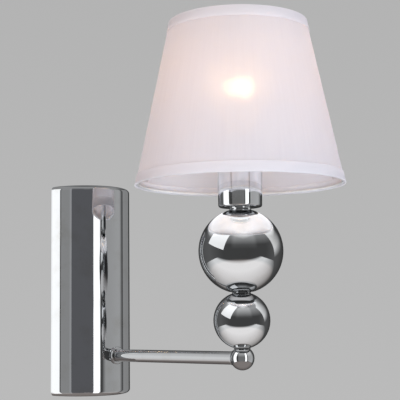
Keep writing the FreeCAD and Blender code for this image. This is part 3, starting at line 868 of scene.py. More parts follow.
def dress(name: str, finish: Finish) -> None:
    """Give a node of the design a better material.

    Args:
        name: Name of the node.
        finish: Finish that it wears.
    """
    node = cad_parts[name]
    for slot in node.material_slots:
        slot.material = finish.material()
    LOG.info("%s wears %s", name, finish.slot)


def settle(piece: bpy.types.Object, body: str, finish: Finish, *nodes: str) -> bpy.types.Object:
    """Finish a new piece, make it ride on a body and let it stand for its nodes.

    Args:
        piece: The new piece.
        body: Body that it rides on.
        finish: Finish that it wears.
        nodes: Nodes of the design that it stands for.

    Returns:
        The same piece.
    """
    piece.data.materials.append(finish.material())
    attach(piece, body)
    if nodes:
        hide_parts(*nodes)
    LOG.info("%s rides on %s", piece.name, body)
    return piece


def middle(node: str) -> Vector:
    """Middle of a node's box."""
    low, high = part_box(node)
    return (low + high) / 2


def span(node: str) -> tuple[float, float]:
    """Lowest and highest height of a node."""
    low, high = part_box(node)
    return low.z, high.z


def half_wide(node: str) -> float:
    """Half of a node's width along X, which is the radius of an upright round one."""
    low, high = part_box(node)
    return (high.x - low.x) / 2


def upright(node: str, segments: int = 96, level: float = 0.0) -> Turning:
    """Turning about a node's own upright axis, with height 0 at a level."""
    centre = middle(node)
    return Turning(Vector((centre.x, centre.y, level)), segments=segments)


# ---------------------------------------------------------------- the lamp's own pieces

@dataclass
class WallCanopy:
    """Half-round chrome cover with the steel bracket and wiring behind it."""

    head_tall: float = 2.2 * MM
    slot_wide: float = 1.0 * MM
    shank: float = 2.0 * MM
    shank_long: float = 8 * MM
    pitch: float = 0.7 * MM
    thread_deep: float = 0.3 * MM

    def build(self) -> None:
        """Make the screws and dress the cover, bracket and wiring."""
        dress("canopy_shell", ChromePlate(grain=Grain.UPRIGHT))
        dress("arm_collar", ChromePlate(grain=Grain.AROUND_ARM))
        for name in ("wall_bracket", "inner_saddle"):
            dress(name, PlainMetal())
        screw = PlainMetal(slot="plated_screw", colour="#C4C6C6", deep="#A6A9AA", roughness=0.24)
        self.make_cover_screws(screw)
        dress("earth_washer", screw)
        dress("earth_screw", screw)
        dress("terminal_screws", PlainMetal(slot="brass", colour="#C9A65A", deep="#A98438"))
        dress("terminal_block", MouldedPlastic(slot="white_polyamide"))
        dress("canopy_leads", MouldedPlastic(slot="lead_insulation", colour="#7A4B2C", shade="#6B3F24"))
        dress("earth_lead", MouldedPlastic(slot="earth_insulation", colour="#8DAA2B", shade="#7E9B22"))

    def make_cover_screws(self, finish: Finish) -> None:
        """Two round-headed slotted screws, one in each end of the cover.

        Args:
            finish: Finish of the screws.
        """
        low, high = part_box("canopy_screws")
        head = (high.x - low.x) / 2
        bm = bmesh.new()
        for end, way in ((high.z, 1), (low.z, -1)):
            foot = Vector(((low.x + high.x) / 2, (low.y + high.y) / 2, end - way * self.head_tall))
            dome = [(head * math.cos(a), self.head_tall * math.sin(a)) for a in
                    (math.pi / 2 * i / 10 for i in range(10))]
            tip = -self.shank_long
            outline = [(0, tip), (self.shank * 0.6, tip), (self.shank, tip + 1.2 * MM)]
            outline += climb(self.shank, tip + 1.4 * MM, -0.05 * MM, 40) + [(head, 0.0), *dome[1:]]
            outline.append((0, self.head_tall))
            Turning(foot, Vector((0, 0, way)), 48).add(bm, outline, closed=False, swell=self.thread)
        screws = new_piece("cover_screws", bm)
        for end, way in ((high.z, 1), (low.z, -1)):
            centre = Vector(((low.x + high.x) / 2, (low.y + high.y) / 2, end))
            carve(screws, slab("slot_cutter", centre, Vector((3 * head, self.slot_wide, 2 * MM))))
        settle(screws, "canopy", finish, "canopy_screws")

    def thread(self, radius: float, height: float, turn: float) -> float:
        """Thread on a screw's shank, left plain on its head.

        Args:
            radius: Radius of the plain shape.
            height: Height along the axis.
            turn: Turn about the axis in radians.

        Returns:
            Radius with the thread.
        """
        if abs(radius - self.shank) > 1e-6:
            return radius
        phase = (height / self.pitch - turn / (2 * math.pi)) % 1
        return radius - self.thread_deep * abs(2 * phase - 1)


@dataclass
class ReachArm:
    """Level chrome arm with its threaded tube, nut and cable."""

    end_thread: float = 16 * MM
    star_teeth: int = 14
    tooth_long: float = 1.4 * MM

    def build(self) -> None:
        """Make the threaded tube, nut and washer, and dress the rest."""
        for name in ("arm_tube", "arm_ferrule"):
            dress(name, ChromePlate(grain=Grain.AROUND_ARM))
        dress("elbow_ball", ChromePlate())
        zinc = PlainMetal(slot="zinc_steel")
        out = Vector((0, -1, 0))
        low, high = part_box("arm_rod")
        outer = (high.x - low.x) / 2
        start = Vector(((low.x + high.x) / 2, high.y, (low.z + high.z) / 2))
        rod = threaded_tube("arm_threaded_tube", Turning(start, out, 48), outer, ROD_BORE, high.y - low.y,
                            self.end_thread)
        settle(rod, "arm", zinc, "arm_rod")
        low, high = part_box("arm_nut")
        flat = min(high.x - low.x, high.z - low.z) / 2
        seat = Vector((start.x, high.y, start.z))
        nut = hex_nut("arm_hex_nut", Turning(seat, out, 72), flat, high.y - low.y, outer + 0.02 * MM)
        settle(nut, "arm", zinc, "arm_nut")
        self.make_star_washer(start, outer, zinc)
        dress("arm_flex", MouldedPlastic(slot="cable_jacket", colour="#E9E7E2", shade="#DEDBD4"))
        dress("cord_grip", MouldedPlastic(slot="white_polyamide"))

    def make_star_washer(self, axis: Vector, bore: float, finish: Finish) -> None:
        """Lock washer with teeth round its rim.

        Args:
            axis: A point on the arm's axis.
            bore: Radius of its hole.
            finish: Finish of the washer.
        """
        low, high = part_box("lock_washer")
        outer = (high.x - low.x) / 2
        tall = high.y - low.y
        root = outer - self.tooth_long

        def teeth(radius: float, height: float, turn: float) -> float:
            """Notches cut into the rim."""
            return root if radius > root and math.cos(self.star_teeth * turn) < -0.2 else radius

        outline = [(bore, 0.0), (root, 0.0), (outer, 0.0), (outer, tall), (root, tall), (bore, tall)]
        turning = Turning(Vector((axis.x, high.y, axis.z)), Vector((0, -1, 0)), self.star_teeth * 12)
        settle(turning.piece("star_washer", outline, swell=teeth), "arm", finish, "lock_washer")


@dataclass
class BallColumn:
    """Spun chrome balls and rings threaded on the upright tube."""

    end_thread: float = 14 * MM

    def build(self) -> None:
        """Make the threaded tube and its nut, and dress the balls and rings."""
        for name in ("neck_ring", "small_ball", "spool_neck", "big_ball", "cup_seat", "holder_cup"):
            dress(name, ChromePlate())
        zinc = PlainMetal(slot="zinc_steel")
        low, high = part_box("stem_rod")
        outer = half_wide("stem_rod")
        rod = threaded_tube("stem_threaded_tube", upright("stem_rod", 48, low.z), outer, ROD_BORE,
                            high.z - low.z, self.end_thread)
        settle(rod, "lamp", zinc, "stem_rod")
        low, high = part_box("stem_nut")
        flat = min(high.x - low.x, high.y - low.y) / 2
        nut = hex_nut("stem_hex_nut", upright("stem_rod", 72, low.z), flat, high.z - low.z,
                      outer + 0.02 * MM)
        settle(nut, "lamp", zinc, "stem_nut")
        dress("stem_flex", MouldedPlastic(slot="cable_jacket", colour="#E9E7E2", shade="#DEDBD4"))


@dataclass
class Lampholder:
    """Moulded screw lampholder with the ring that clamps the shade."""

    pitch: float = 3.6 * MM
    ring_pitch: float = 2.5 * MM
    knurls: int = 48
    foot: float = 18.4 * MM
    ring_wide: float = 4.85 * MM
    play: float = 0.1 * MM

    def build(self) -> None:
        """Make the holder's body, ring, shell and contact."""
        self.make_body()
        self.make_ring()
        self.make_shell()
        dress("socket_contact", PlainMetal(slot="brass", colour="#C9A65A", deep="#A98438"))

    def make_body(self) -> None:
        """Body with a wide flange and a coarse moulded thread for the shade ring."""
        low, high = span("lampholder_body")
        flange_low = span("holder_cup")[1]
        flange_high = span("shade_hub")[0] - 0.3 * MM
        outer = half_wide("lampholder_body")
        neck = half_wide("shade_ring") - self.ring_wide - self.play
        bore = half_wide("socket_shell") + 0.3 * MM
        floor = span("socket_contact")[0]
        root = neck - 0.9 * MM

        def thread(radius: float, height: float, turn: float) -> float:
            """Rounded thread on the neck, left plain everywhere else.

            Args:
                radius: Radius of the plain shape.
                height: Height along the axis.
                turn: Turn about the axis in radians.

            Returns:
                Radius with the thread.
            """
            if radius < root - 1e-6 or radius > neck or not flange_high + MM < height < high - MM:
                return radius
            phase = height / self.ring_pitch - turn / (2 * math.pi)
            return root + 0.8 * MM * (0.5 + 0.5 * math.cos(2 * math.pi * phase)) ** 0.8

        outline = [(0, low), (self.foot - MM, low), (self.foot, low + MM), (self.foot, flange_low),
                   (outer - 0.4 * MM, flange_low), (outer, flange_low + 0.4 * MM),
                   (outer, flange_high - 0.6 * MM), (outer - 0.6 * MM, flange_high), (root, flange_high)]
        outline += climb(root, flange_high + 0.2 * MM, high - 0.6 * MM, 48)
        outline += [(root - 0.6 * MM, high), (bore, high), (bore, floor), (0, floor)]
        settle(upright("lampholder_body").piece("holder_body", outline, closed=False, swell=thread), "lamp",
               MouldedPlastic(slot="holder_moulding"), "lampholder_body")

    def make_ring(self) -> None:
        """Clamping ring with knurls to turn it by."""
        low, high = span("shade_ring")
        outer = half_wide("shade_ring")
        bore = outer - self.ring_wide

        def knurl(radius: float, height: float, turn: float) -> float:
            """Round ribs on the ring's rim.

            Args:
                radius: Radius of the plain shape.
                height: Height along the axis; not used.
                turn: Turn about the axis in radians.

            Returns:
                Radius with the ribs.
            """
            if radius < outer - 0.2 * MM:
                return radius
            return radius - 0.5 * MM * (0.5 - 0.5 * math.cos(self.knurls * turn))

        outline = [(bore, low), (outer - MM, low), (outer, low + 0.8 * MM), (outer, high - 0.8 * MM),
                   (outer - MM, high), (bore, high)]
        turning = upright("shade_ring", self.knurls * 6)
        settle(turning.piece("clamping_ring", outline, swell=knurl), "lamp",
               MouldedPlastic(slot="holder_moulding"), "shade_ring")

    def make_shell(self) -> None:
        """Brass screw shell pressed from sheet."""
        low, high = span("socket_shell")
        outer = half_wide("socket_shell")

        def thread(radius: float, height: float, turn: float) -> float:
            """Rolled thread of the shell."""
            return radius - SHELL_SHEET * (1 - math.cos(2 * math.pi * height / self.pitch - turn))

        rows = int((high - low) / (0.3 * MM))
        outline = climb(outer, low, high, rows) + climb(outer - SHELL_SHEET, high, low, rows)
        settle(upright("socket_shell", 72).piece("screw_shell", outline, swell=thread), "lamp",
               PlainMetal(slot="brass", colour="#D2B36E", deep="#B08F4A", roughness=0.28), "socket_shell")


@dataclass
class FabricShade:
    """Tapered cloth shade on film, bound with tape over two wire rings."""

    segments: int = 192
    rows: int = 24
    seam_turn: float = math.radians(-11)
    seam_wide: float = 9 * MM
    seam_lift: float = 0.25 * MM
    tape: float = 0.45 * MM
    tape_tall: float = 10.2 * MM

    def build(self) -> None:
        """Make the cloth, film, tapes and white frame."""
        low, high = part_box("shade_fabric")
        self.axis = Vector(((low.x + high.x) / 2, (low.y + high.y) / 2, 0))
        self.low, self.high = low.z, high.z
        self.foot = (high.x - low.x) / 2
        corners = [v.co - self.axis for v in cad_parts["shade_fabric"].data.vertices]
        self.mouth = max(spot.xy.length for spot in corners if spot.z > self.high - 1e-5)
        cloth = self.skin("shade_cloth", 0.25 * MM, self.seam_lift)
        settle(cloth, "shade", ShadeCloth(), "shade_fabric")
        film = self.skin("shade_film", 0.75 * MM, 0.0)
        settle(film, "shade", LinerFilm(), "shade_liner")
        for name, node, rise in (("foot_tape", "foot_trim", True), ("mouth_tape", "mouth_trim", False)):
            settle(self.folded_tape(name, rise), "shade", EdgeTape(), node)
        for name in ("shade_hub", "shade_spokes", "mouth_wire", "foot_wire"):
            dress(name, Enamel())

    def radius(self, z: float, inward: float) -> float:
        """Radius of the shade's skin at a height, less a depth inward."""
        share = (z - self.low) / (self.high - self.low)
        return self.foot + (self.mouth - self.foot) * share - inward

    def skin(self, name: str, inward: float, lift: float) -> bpy.types.Object:
        """One layer of the shade with its own cloth coordinates in metres.

        Args:
            name: Name of the piece.
            inward: Depth of the layer under the outer surface.
            lift: How far the overlap at the seam stands out.

        Returns:
            The layer as an object.
        """
        bm = bmesh.new()
        uv = bm.loops.layers.uv.new("cloth")
        rim = 2 * math.pi * (self.foot + self.mouth) / 2
        rings = []
        for row in range(self.rows + 1):
            z = self.low + (self.high - self.low) * row / self.rows
            ring = []
            for i in range(self.segments + 1):
                turn = self.seam_turn + 2 * math.pi * i / self.segments
                run = i / self.segments * rim
                edge = min(run, self.seam_wide) / self.seam_wide
                r = self.radius(z, inward) + lift * (1 - edge) ** 0.5 * (1 if run < self.seam_wide else 0)
                spot = Vector((r * math.cos(turn), r * math.sin(turn), z)) + self.axis
                ring.append((bm.verts.new(spot), run))
            rings.append(ring)
        for row, (low, high) in enumerate(zip(rings, rings[1:])):
            for i in range(self.segments):
                corners = (low[i], low[i + 1], high[i + 1], high[i])
                face = bm.faces.new([c[0] for c in corners])
                for loop, (_, run), up in zip(face.loops, corners, (row, row, row + 1, row + 1)):
                    loop[uv].uv = (run, up / self.rows * (self.high - self.low))
        mesh = bpy.data.meshes.new(name)
        bm.to_mesh(mesh)
        bm.free()
        mesh.shade_smooth()
        return linked(name, mesh)

    def folded_tape(self, name: str, at_foot: bool) -> bpy.types.Object:
        """Tape folded over one edge, outside and inside the skin.

        Args:
            name: Name of the piece.
            at_foot: Whether it binds the lower edge.

        Returns:
            The tape as an object.
        """
        edge = self.low if at_foot else self.high
        way = 1 if at_foot else -1
        out, thick = -0.1 * MM, self.tape
        inner = 1.35 * MM
        lining, short = inner - 0.3 * MM, way * self.tape_tall * 0.8
        profile = [(-thick + out, way * self.tape_tall), (-thick + out, 0.0), (out, 0.0), (inner, 0.0),
                   (inner, short), (lining, short), (lining, way * 0.5 * MM), (out, way * 0.5 * MM),
                   (out, way * self.tape_tall)]
        outline = [(self.radius(edge + up, depth), edge + up) for depth, up in profile]
        bm = bmesh.new()
        Turning(self.axis, segments=self.segments).add(bm, softened(outline, 0.4 * MM, 2))
        bmesh.ops.remove_doubles(bm, verts=bm.verts, dist=1e-7)
        uv = bm.loops.layers.uv.new("cloth")
        rim = self.foot if at_foot else self.mouth
        for face in bm.faces:
            spots = [loop.vert.co - self.axis for loop in face.loops]
            turns = [math.atan2(spot.y, spot.x) for spot in spots]
            wrap = max(turns) - min(turns) > math.pi
            for loop, turn in zip(face.loops, turns):
                loop[uv].uv = ((turn + (2 * math.pi if wrap and turn < 0 else 0)) * rim, loop.vert.co.z)
        return new_piece(name, bm, 50.0)


@dataclass
class ScrewBulb:
    """Frosted lamp bulb with its screw cap, stem and coiled filament."""

    pitch: float = 3.6 * MM
    thread_deep: float = 0.9 * MM
    coil_radius: float = 0.7 * MM
    wire: float = 0.16 * MM
    turns: int = 70
    folds: int = 5
    crown_inset: float = 2.3 * MM
    crown_tall: float = 11 * MM
    crown_rise: float = -1.5 * MM

    def build(self) -> None:
        """Make the bulb's pieces."""
        low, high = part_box("bulb_glass")
        self.turning = upright("bulb_glass", 72)
        self.centre = self.turning.centre
        self.ball = (high.x - low.x) / 2
        self.make_glass(low.z, high.z)
        self.make_cap()
        self.make_filament()
        dress("bulb_mount", ClearGlass())
        dress("bulb_insulator", MouldedPlastic(slot="black_glass", colour="#1B1A1E", shade="#232128",
                                               roughness=0.12))
        self.make_contact()

    def make_contact(self) -> None:
        """Blob of solder on the bulb's centre contact, just clear of the black glass."""
        low, high = span("bulb_contact")
        radius = half_wide("bulb_contact")
        rim = low + 0.55 * (high - low)
        curve = [(radius * math.sin(a), rim - (rim - low) * math.cos(a)) for a in
                 (math.pi / 2 * i / 8 for i in range(9))]
        outline = [*curve, (radius * 0.94, high - 0.08 * MM), (0.0, high - 0.08 * MM)]

        def slump(r: float, height: float, turn: float) -> float:
            """Slight unevenness, as solder sets."""
            return r * (1 - 0.05 * (0.5 + 0.5 * math.cos(2 * turn + 1) * math.sin(3 * turn)))

        settle(self.turning.piece("solder_contact", outline, closed=False, swell=slump), "bulb_tip",
               PlainMetal(slot="solder_tip", colour="#B9BBBD", deep="#95989B"), "bulb_contact")

    def make_glass(self, low: float, high: float) -> None:
        """Pear-shaped envelope: a ball that runs down into its neck in one curve.

        Args:
            low: Height of its lower end.
            high: Height of its top.
        """
        neck = half_wide("bulb_cap")
        middle_z = high - self.ball
        leave = math.radians(-38)
        outline = []
        start = Vector((neck - 0.6 * MM, low))
        end = Vector((self.ball * math.cos(leave), middle_z + self.ball * math.sin(leave)))
        lean = Vector((math.sin(-leave), math.cos(leave)))
        pull = (end - start).length * 0.4
        up, down = start + Vector((0, pull)), end - lean * pull
        for step in range(15):
            t = step / 14
            outline.append(tuple(start * (1 - t) ** 3 + up * 3 * t * (1 - t) ** 2
                                 + down * 3 * t * t * (1 - t) + end * t ** 3))
        for step in range(1, 33):
            angle = leave + (math.pi / 2 - leave) * step / 32
            outline.append((self.ball * math.cos(angle), middle_z + self.ball * math.sin(angle)))
        outline[-1] = (0.0, high)
        glass = self.turning.piece("bulb_envelope", outline, closed=False)
        settle(glass, "bulb", FrostedGlass(), "bulb_glass")

    def make_cap(self) -> None:
        """Rolled screw cap."""
        low, high = span("bulb_cap")
        outer = half_wide("bulb_cap")
        plain_low, plain_high = low + 1.2 * MM, high - 3.2 * MM

        def thread(radius: float, height: float, turn: float) -> float:
            """Rolled thread that fades out at both ends.

            Args:
                radius: Radius of the plain shape.
                height: Height along the axis.
                turn: Turn about the axis in radians.

            Returns:
                Radius with the thread.
            """
            if not plain_low < height < plain_high:
                return radius
            fade = min(height - plain_low, plain_high - height, 2 * MM) / (2 * MM)
            phase = 2 * math.pi * (height / self.pitch - turn / (2 * math.pi))
            return radius - self.thread_deep * fade * (0.5 - 0.5 * math.cos(phase))

        rows = 60
        outline = climb(outer, low, high, rows) + climb(outer - SHELL_SHEET, high, low, rows)
        settle(self.turning.piece("screw_cap", outline, swell=thread), "bulb",
               PlainMetal(slot="bulb_cap", colour="#C8CBCD", deep="#ABAFB2", roughness=0.2), "bulb_cap")

    def make_filament(self) -> None:
        """Coiled wire strung in a zigzag crown, on two supports."""
        low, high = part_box("bulb_filament")
        ring = (high.x - low.x) / 2 - self.crown_inset
        level = high.z + self.crown_rise
        mount_top = span("bulb_mount")[1]
        bm = bmesh.new()
        steps = self.turns * 10
        start, sweep = math.radians(200), math.radians(320)

        def spot(share: float, coil: float = 0.0, out: float = 0.0) -> Vector:
            """Place on the crown at a share of its sweep, on a coil round its middle line.

            Args:
                share: Share of the sweep, 0 to 1.
                coil: Turn of the coil in radians.
                out: The coil's radius.

            Returns:
                The place.
            """
            turn = start + sweep * share
            fold = abs((share * self.folds) % 1 - 0.5) * 4 - 1
            r = ring + out * math.cos(coil)
            lift = self.crown_tall / 2 * fold + out * math.sin(coil)
            return self.centre + Vector((r * math.cos(turn), r * math.sin(turn), level + lift))

        path = [spot(i / steps, 2 * math.pi * self.turns * i / steps, self.coil_radius)
                for i in range(steps + 1)]
        add_tube(bm, path, self.wire, 5)
        glowing = len(bm.faces)
        for share in (0.0, 1.0):
            tip = spot(share)
            out = (tip - self.centre).xy.normalized().to_3d() * 2.4 * MM
            foot = self.centre + out + Vector((0, 0, mount_top + 0.3 * MM))
            add_tube(bm, [foot, foot.lerp(tip, 0.4) + Vector((0, 0, MM)), tip], 0.3 * MM, 8)
        bm.faces.ensure_lookup_table()
        for face in bm.faces[glowing:]:
            face.material_index = 1
        coil = settle(new_piece("coiled_filament", bm), "bulb", GlowingWire(), "bulb_filament")
        coil.data.materials.append(PlainMetal(slot="filament", colour="#B7B4AE", deep="#98948C").material())


# ---------------------------------------------------------------- studio

@dataclass(frozen=True)
class Softbox:
    """A soft panel of light that the camera doesn't see.

    Args:
        name: Name of the light.
        aim: Point that it faces.
        turn: Compass direction from that point to the panel, in degrees; 0 is -Y and 90 is +X.
        far: Level distance to the panel.
        middle: Height of the panel's middle.
        size: Width and height.
        radiance: Brightness, where 1 is paper white.
        colour: sRGB tint.
        receivers: Nodes that it lights; all of them if none is named.
        spared: Nodes that it doesn't light, when it lights the rest.
        soft: Width over which it fades at its left, right, lower and upper edges.
        lean: How far the panel is rolled about its aim, in degrees.
    """

    name: str
    aim: tuple[float, float, float]
    turn: float
    far: float
    middle: float
    size: tuple[float, float]
    radiance: float
    colour: str = "#FFFFFF"
    receivers: tuple[str, ...] = ()
    spared: tuple[str, ...] = ()
    soft: tuple[float, float, float, float] = (0.0, 0.0, 0.0, 0.0)
    lean: float = 0.0

    def build(self) -> None:
        """Make the light and link it to its receivers."""
        lamp = bpy.data.lights.new(self.name, "AREA")
        lamp.shape = "RECTANGLE"
        lamp.size, lamp.size_y = self.size
        lamp.energy = self.radiance * math.pi * self.size[0] * self.size[1]
        lamp.color = linear(self.colour)[:3]
        if any(self.soft):
            self.mask(lamp)
        holder = linked(self.name, lamp)
        holder.matrix_world = self.stand()
        holder.visible_camera = False
        if self.receivers or self.spared:
            lit = bpy.data.collections.new(self.name + "_lit")
            for name in self.receivers or self.spared:
                lit.objects.link(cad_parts[name])
            for member in lit.collection_objects:
                member.light_linking.link_state = "EXCLUDE" if self.spared else "INCLUDE"
            holder.light_linking.receiver_collection = lit

    def stand(self) -> Matrix:
        """Place of the panel, with its width level and its face towards its aim.

        Returns:
            The panel's place and turn.
        """
        angle = math.radians(self.turn)
        away = Vector((math.sin(angle), -math.cos(angle), 0))
        place = Vector((self.aim[0], self.aim[1], self.middle)) + away * self.far
        back = (place - Vector(self.aim)).normalized()
        side = Vector((math.cos(angle), math.sin(angle), 0))
        turned = Matrix((side, back.cross(side), back)).transposed().to_4x4()
        return Matrix.Translation(place) @ turned @ Matrix.Rotation(math.radians(self.lean), 4, "Z")

    def mask(self, lamp: bpy.types.AreaLight) -> None:
        """Fade the panel's brightness towards its soft edges.

        Args:
            lamp: Area light of the panel.
        """
        tree = blank_tree(lamp)
        spot = add_node(tree, "NewGeometry").outputs["Parametric"]
        parts = add_node(tree, "SeparateXYZ", Vector=spot).outputs
        share: float | Socket = 1.0
        for i, width in enumerate(self.soft):
            if width:
                reach = width / self.size[i // 2]
                start, end = (1.0, 1.0 - reach) if i % 2 else (0.0, reach)
                share = maths(tree, "MULTIPLY", share, ranged(tree, parts[i // 2], 0.0, 1.0, start, end))
        light = add_node(tree, "Emission", Color=(1, 1, 1, 1), Strength=share)
        add_node(tree, "OutputLight", Surface=light.outputs[0])


@dataclass
class Studio:
    """Pale floor, grey backdrop, soft panels and the camera."""

    floor_z: float = -0.62
    floor_half: float = 1.22
    camera_place: tuple[float, float, float] = (-0.8008, -0.8670, -0.0276)
    yaw: float = math.radians(48.77)
    pitch: float = math.radians(6.04)
    roll: float = math.radians(-0.61)
    lens_mm: float = 98.1

    def build(self) -> None:
        """Set up everything round the lamp."""
        bpy.context.scene.view_settings.view_transform = "Standard"
        self.make_camera()
        self.make_floor()
        self.make_room()
        stem = middle("stem_rod")
        for box in (*self.fills(), *self.cover_panels(), *self.cup_panels(stem), *self.arm_panels(stem),
                    *self.ball_panels(stem)):
            box.build()
            LOG.info("light %s", box.name)

    def make_camera(self) -> None:
        """Camera in front and to the left of the lamp, a little below its middle."""
        ahead = Vector((math.sin(self.yaw) * math.cos(self.pitch), math.cos(self.yaw) * math.cos(self.pitch),
                        math.sin(self.pitch)))
        right = Vector((math.cos(self.yaw), -math.sin(self.yaw), 0))
        up = right.cross(ahead)
        across = right * math.cos(self.roll) + up * math.sin(self.roll)
        over = up * math.cos(self.roll) - right * math.sin(self.roll)
        data = bpy.data.cameras.new("studio_camera")
        data.lens = self.lens_mm
        data.sensor_width = 36.0
        holder = linked("studio_camera", data)
        turn = Matrix((across, over, -ahead)).transposed().to_4x4()
        holder.matrix_world = Matrix.Translation(self.camera_place) @ turn
        bpy.context.scene.camera = holder

    def make_floor(self) -> None:
        """Plain pale floor well under the lamp, left out of what the metal reflects."""
        bm = bmesh.new()
        bmesh.ops.create_circle(bm, cap_ends=True, segments=128, radius=self.floor_half,
                                matrix=Matrix.Translation((0, -0.2, self.floor_z)))
        mesh = bpy.data.meshes.new("floor")
        bm.to_mesh(mesh)
        bm.free()
        floor = linked("floor", mesh)
        floor.visible_glossy = False
        material = bpy.data.materials.new("floor")
        material.use_nodes = True
        shader = material.node_tree.nodes["Principled BSDF"]
        shader.inputs["Base Color"].default_value = linear("#F2F2F2")
        shader.inputs["Roughness"].default_value = 0.9
        mesh.materials.append(material)

    def make_room(self) -> None:
        """Soft room: grey backdrop for the eye, a dim room with a lit ceiling for everything else."""
        world = bpy.data.worlds.new("studio_room")
        bpy.context.scene.world = world
        tree = blank_tree(world)
        way = add_node(tree, "TexCoord").outputs["Generated"]
        parts = add_node(tree, "SeparateXYZ", Vector=way).outputs
        turn = maths(tree, "ARCTAN2", parts["X"], maths(tree, "MULTIPLY", parts["Y"], -1.0))
        turn = maths(tree, "DEGREES", turn)
        rise = maths(tree, "DEGREES", maths(tree, "ARCSINE", parts["Z"]))
        walls = ramp(tree, turn, ((-180, 0.2), (-100, 0.08), (20, 0.08), (90, 0.2), (180, 0.2)))
        column = ramp(tree, rise, ((-90, 0.0), (10, 0.03), (45, 0.5), (90, 0.15)))
        room = mixed(tree, 1.0, walls, column, "LIGHTEN")
        room = mixed(tree, ranged(tree, rise, 0.0, 1.0, -24.0, -30.0), room, (0.34, 0.30, 0.285, 1))
        behind = maths(tree, "ADD", maths(tree, "MULTIPLY", parts["X"], math.sin(self.yaw)),
                       maths(tree, "MULTIPLY", parts["Y"], math.cos(self.yaw)))
        fade = ramp(tree, behind, ((-1, 1.0), (0.1, 1.0), (0.45, 0.75), (0.75, 0.4), (1, 0.2)))
        room = mixed(tree, 1.0, room, fade, "MULTIPLY")
        backdrop = mixed(tree, ranged(tree, parts["Z"], 0.0, 1.0, -0.1, 0.3), "#BBBBBB", "#B3B3B3")
        is_eye = add_node(tree, "LightPath").outputs["Is Camera Ray"]
        sky = add_node(tree, "Background", Color=mixed(tree, is_eye, room, backdrop))
        add_node(tree, "OutputWorld", Surface=sky.outputs[0])

    @staticmethod
    def fills() -> list[Softbox]:
        """Wide lights for the cloth and floor that bright metal doesn't show.

        Returns:
            The panels.
        """
        shade = (0.0, -0.2, 0.15)
        return [
            Softbox("top_fill", (0, -0.2, 0), -10, 0.2, 1.6, (1.6, 1.6), 1.6, spared=CHROMED),
            Softbox("warm_fill", shade, -95, 1.5, 0.35, (0.9, 0.9), 1.75, "#FFD0BE", spared=CHROMED),
            Softbox("eye_fill", shade, -45, 1.5, 0.15, (0.9, 0.9), 1.35, "#FAF7F8", spared=CHROMED),
            Softbox("cool_fill", shade, 38, 1.5, 0.3, (0.9, 0.9), 3.9, "#EAEAFC", spared=CHROMED),
            Softbox("under_fill", shade, -49, 0.9, -0.45, (0.8, 0.5), 6.8, "#E2F0FF", spared=CHROMED),
            Softbox("back_fill", (0, 0, 0), 160, 1.4, 0.5, (1.2, 1.0), 2.2, "#F6F6FF", spared=CHROMED),
            Softbox("bracket_fill", (0, 0, 0), 160, 1.39, 0.1, (2.6, 2.2), 0.9, receivers=STEELWORK),
        ]

    @staticmethod
    def cover_panels() -> list[Softbox]:
        """Two bright windows and dim screens round the wall cover.

        Returns:
            The panels.
        """
        lit = ("canopy_shell",)
        axis, low, tall = (0.0, 0.0, -0.06), -0.06, 0.8
        return [
            Softbox("cover_back", (0, 0, 0), 160, 1.37, 0.1, (2.6, 2.2), 0.5, receivers=lit),
            Softbox("cover_window_left", axis, -128, 0.5, low, (0.4, tall), 1.6, receivers=lit,
                    soft=(0.2, 0.02, 0, 0)),
            Softbox("cover_screen_left", axis, -90, 0.5, low, (0.25, tall), 0.3, receivers=lit),
            Softbox("cover_screen_front", axis, -50, 0.5, low, (0.6, tall), 0.08, "#EEF0FF", receivers=lit),
            Softbox("cover_window_right", axis, -14, 0.5, low, (0.16, tall), 2.3, receivers=lit,
                    soft=(0.01, 0.04, 0, 0)),
            Softbox("cover_screen_right", axis, 30, 0.5, low, (0.6, tall), 0.4, receivers=lit,
                    soft=(0.1, 0.1, 0, 0)),
            Softbox("cover_screen_far", axis, 82, 0.5, low, (0.3, tall), 0.27, receivers=lit),
        ]

    @staticmethod
    def cup_panels(stem: Vector) -> list[Softbox]:
        """Two bright windows and two dim screens for the cup and elbow ball, and a pale band above.

        Args:
            stem: Middle of the lamp's upright tube.

        Returns:
            The panels.
        """
        lit = ("holder_cup", "elbow_ball", "arm_collar")
        axis, low, tall = (stem.x, stem.y, 0.03), 0.03, 0.6
        cup, above = ("holder_cup",), (stem.x, stem.y, 0.12)
        return [
            Softbox("cup_window_left", axis, -130, 0.4, low, (0.3, tall), 2.0, receivers=lit,
                    soft=(0.1, 0.02, 0, 0)),
            Softbox("cup_screen_front", axis, -60, 0.4, low, (0.5, tall), 0.17, receivers=lit),
            Softbox("cup_window_right", axis, -15, 0.4, low, (0.14, tall), 2.3, receivers=lit,
                    soft=(0.02, 0.02, 0, 0)),
            Softbox("cup_screen_right", axis, 40, 0.4, low, (0.6, tall), 0.5, receivers=lit,
                    soft=(0, 0.2, 0, 0)),
            *(Softbox("cup_band_%d" % i, above, turn, 0.075, 0.12, (0.14, 0.055), 0.5, "#F6F5FF",
                      receivers=cup) for i, turn in enumerate((-133, -49, 35))),
        ]

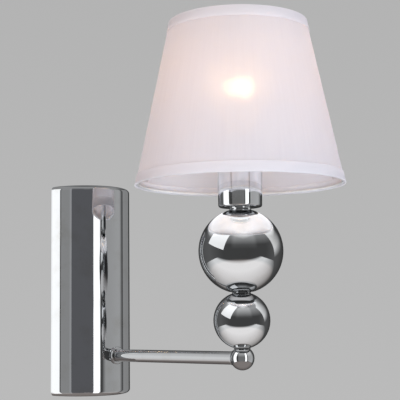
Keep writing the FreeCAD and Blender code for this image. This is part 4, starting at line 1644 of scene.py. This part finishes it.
    @staticmethod
    def arm_panels(stem: Vector) -> list[Softbox]:
        """One tall panel that fades up and down, for the long soft light along the arm.

        Args:
            stem: Middle of the lamp's upright tube.

        Returns:
            The panels.
        """
        axis = (0.0, stem.y * 0.6, -0.068)
        return [Softbox("arm_soft", axis, -131, 0.5, -0.068, (1.0, 1.3), 0.85,
                        receivers=("arm_tube", "arm_ferrule"), soft=(0, 0, 0.5, 0.6))]

    @staticmethod
    def ball_panels(stem: Vector) -> list[Softbox]:
        """Two windows, a dim screen, a pale table top and a pale ceiling for the balls.

        Args:
            stem: Middle of the lamp's upright tube.

        Returns:
            The panels.
        """
        lit = ("small_ball", "big_ball", "neck_ring", "spool_neck", "cup_seat")
        away = math.radians(-57)
        ahead = 0.12
        table = (stem.x + ahead * math.sin(away), stem.y - ahead * math.cos(away), 0.0)
        return [
            Softbox("ball_ceiling", (stem.x, stem.y, -1.0), 0, 0.0, 0.092, (0.2, 0.2), 0.95, receivers=lit,
                    soft=(0.04, 0.04, 0.04, 0.04)),
            Softbox("ball_screen", (stem.x, stem.y, 0.56), -42, 0.79, 0.56, (1.2, 1.0), 0.25, receivers=lit,
                    soft=(0.2, 0.2, 0.8, 0)),
            Softbox("ball_window_left", (stem.x, stem.y, 0.79), -113, 0.8, 0.79, (0.85, 1.3), 1.3,
                    receivers=lit, lean=-17),
            Softbox("ball_window_right", (stem.x, stem.y, 0.48), 60, 0.8, 0.48, (0.7, 1.0), 0.85,
                    receivers=lit, soft=(0, 0.6, 0.2, 0), lean=25),
            Softbox("ball_table", table, -57, 0.0, -0.45, (3.2, 1.64), 0.95, receivers=lit,
                    soft=(0, 0, 1.0, 0.3)),
        ]


def main() -> None:
    """Build every sub-assembly in order and report it."""
    logging.basicConfig(level=logging.INFO, format="%(message)s")
    Studio().build()
    for part in (WallCanopy(), ReachArm(), BallColumn(), Lampholder(), FabricShade(), ScrewBulb()):
        part.build()
        LOG.info("built %s", type(part).__name__)


if __name__ == "__main__":
    main()
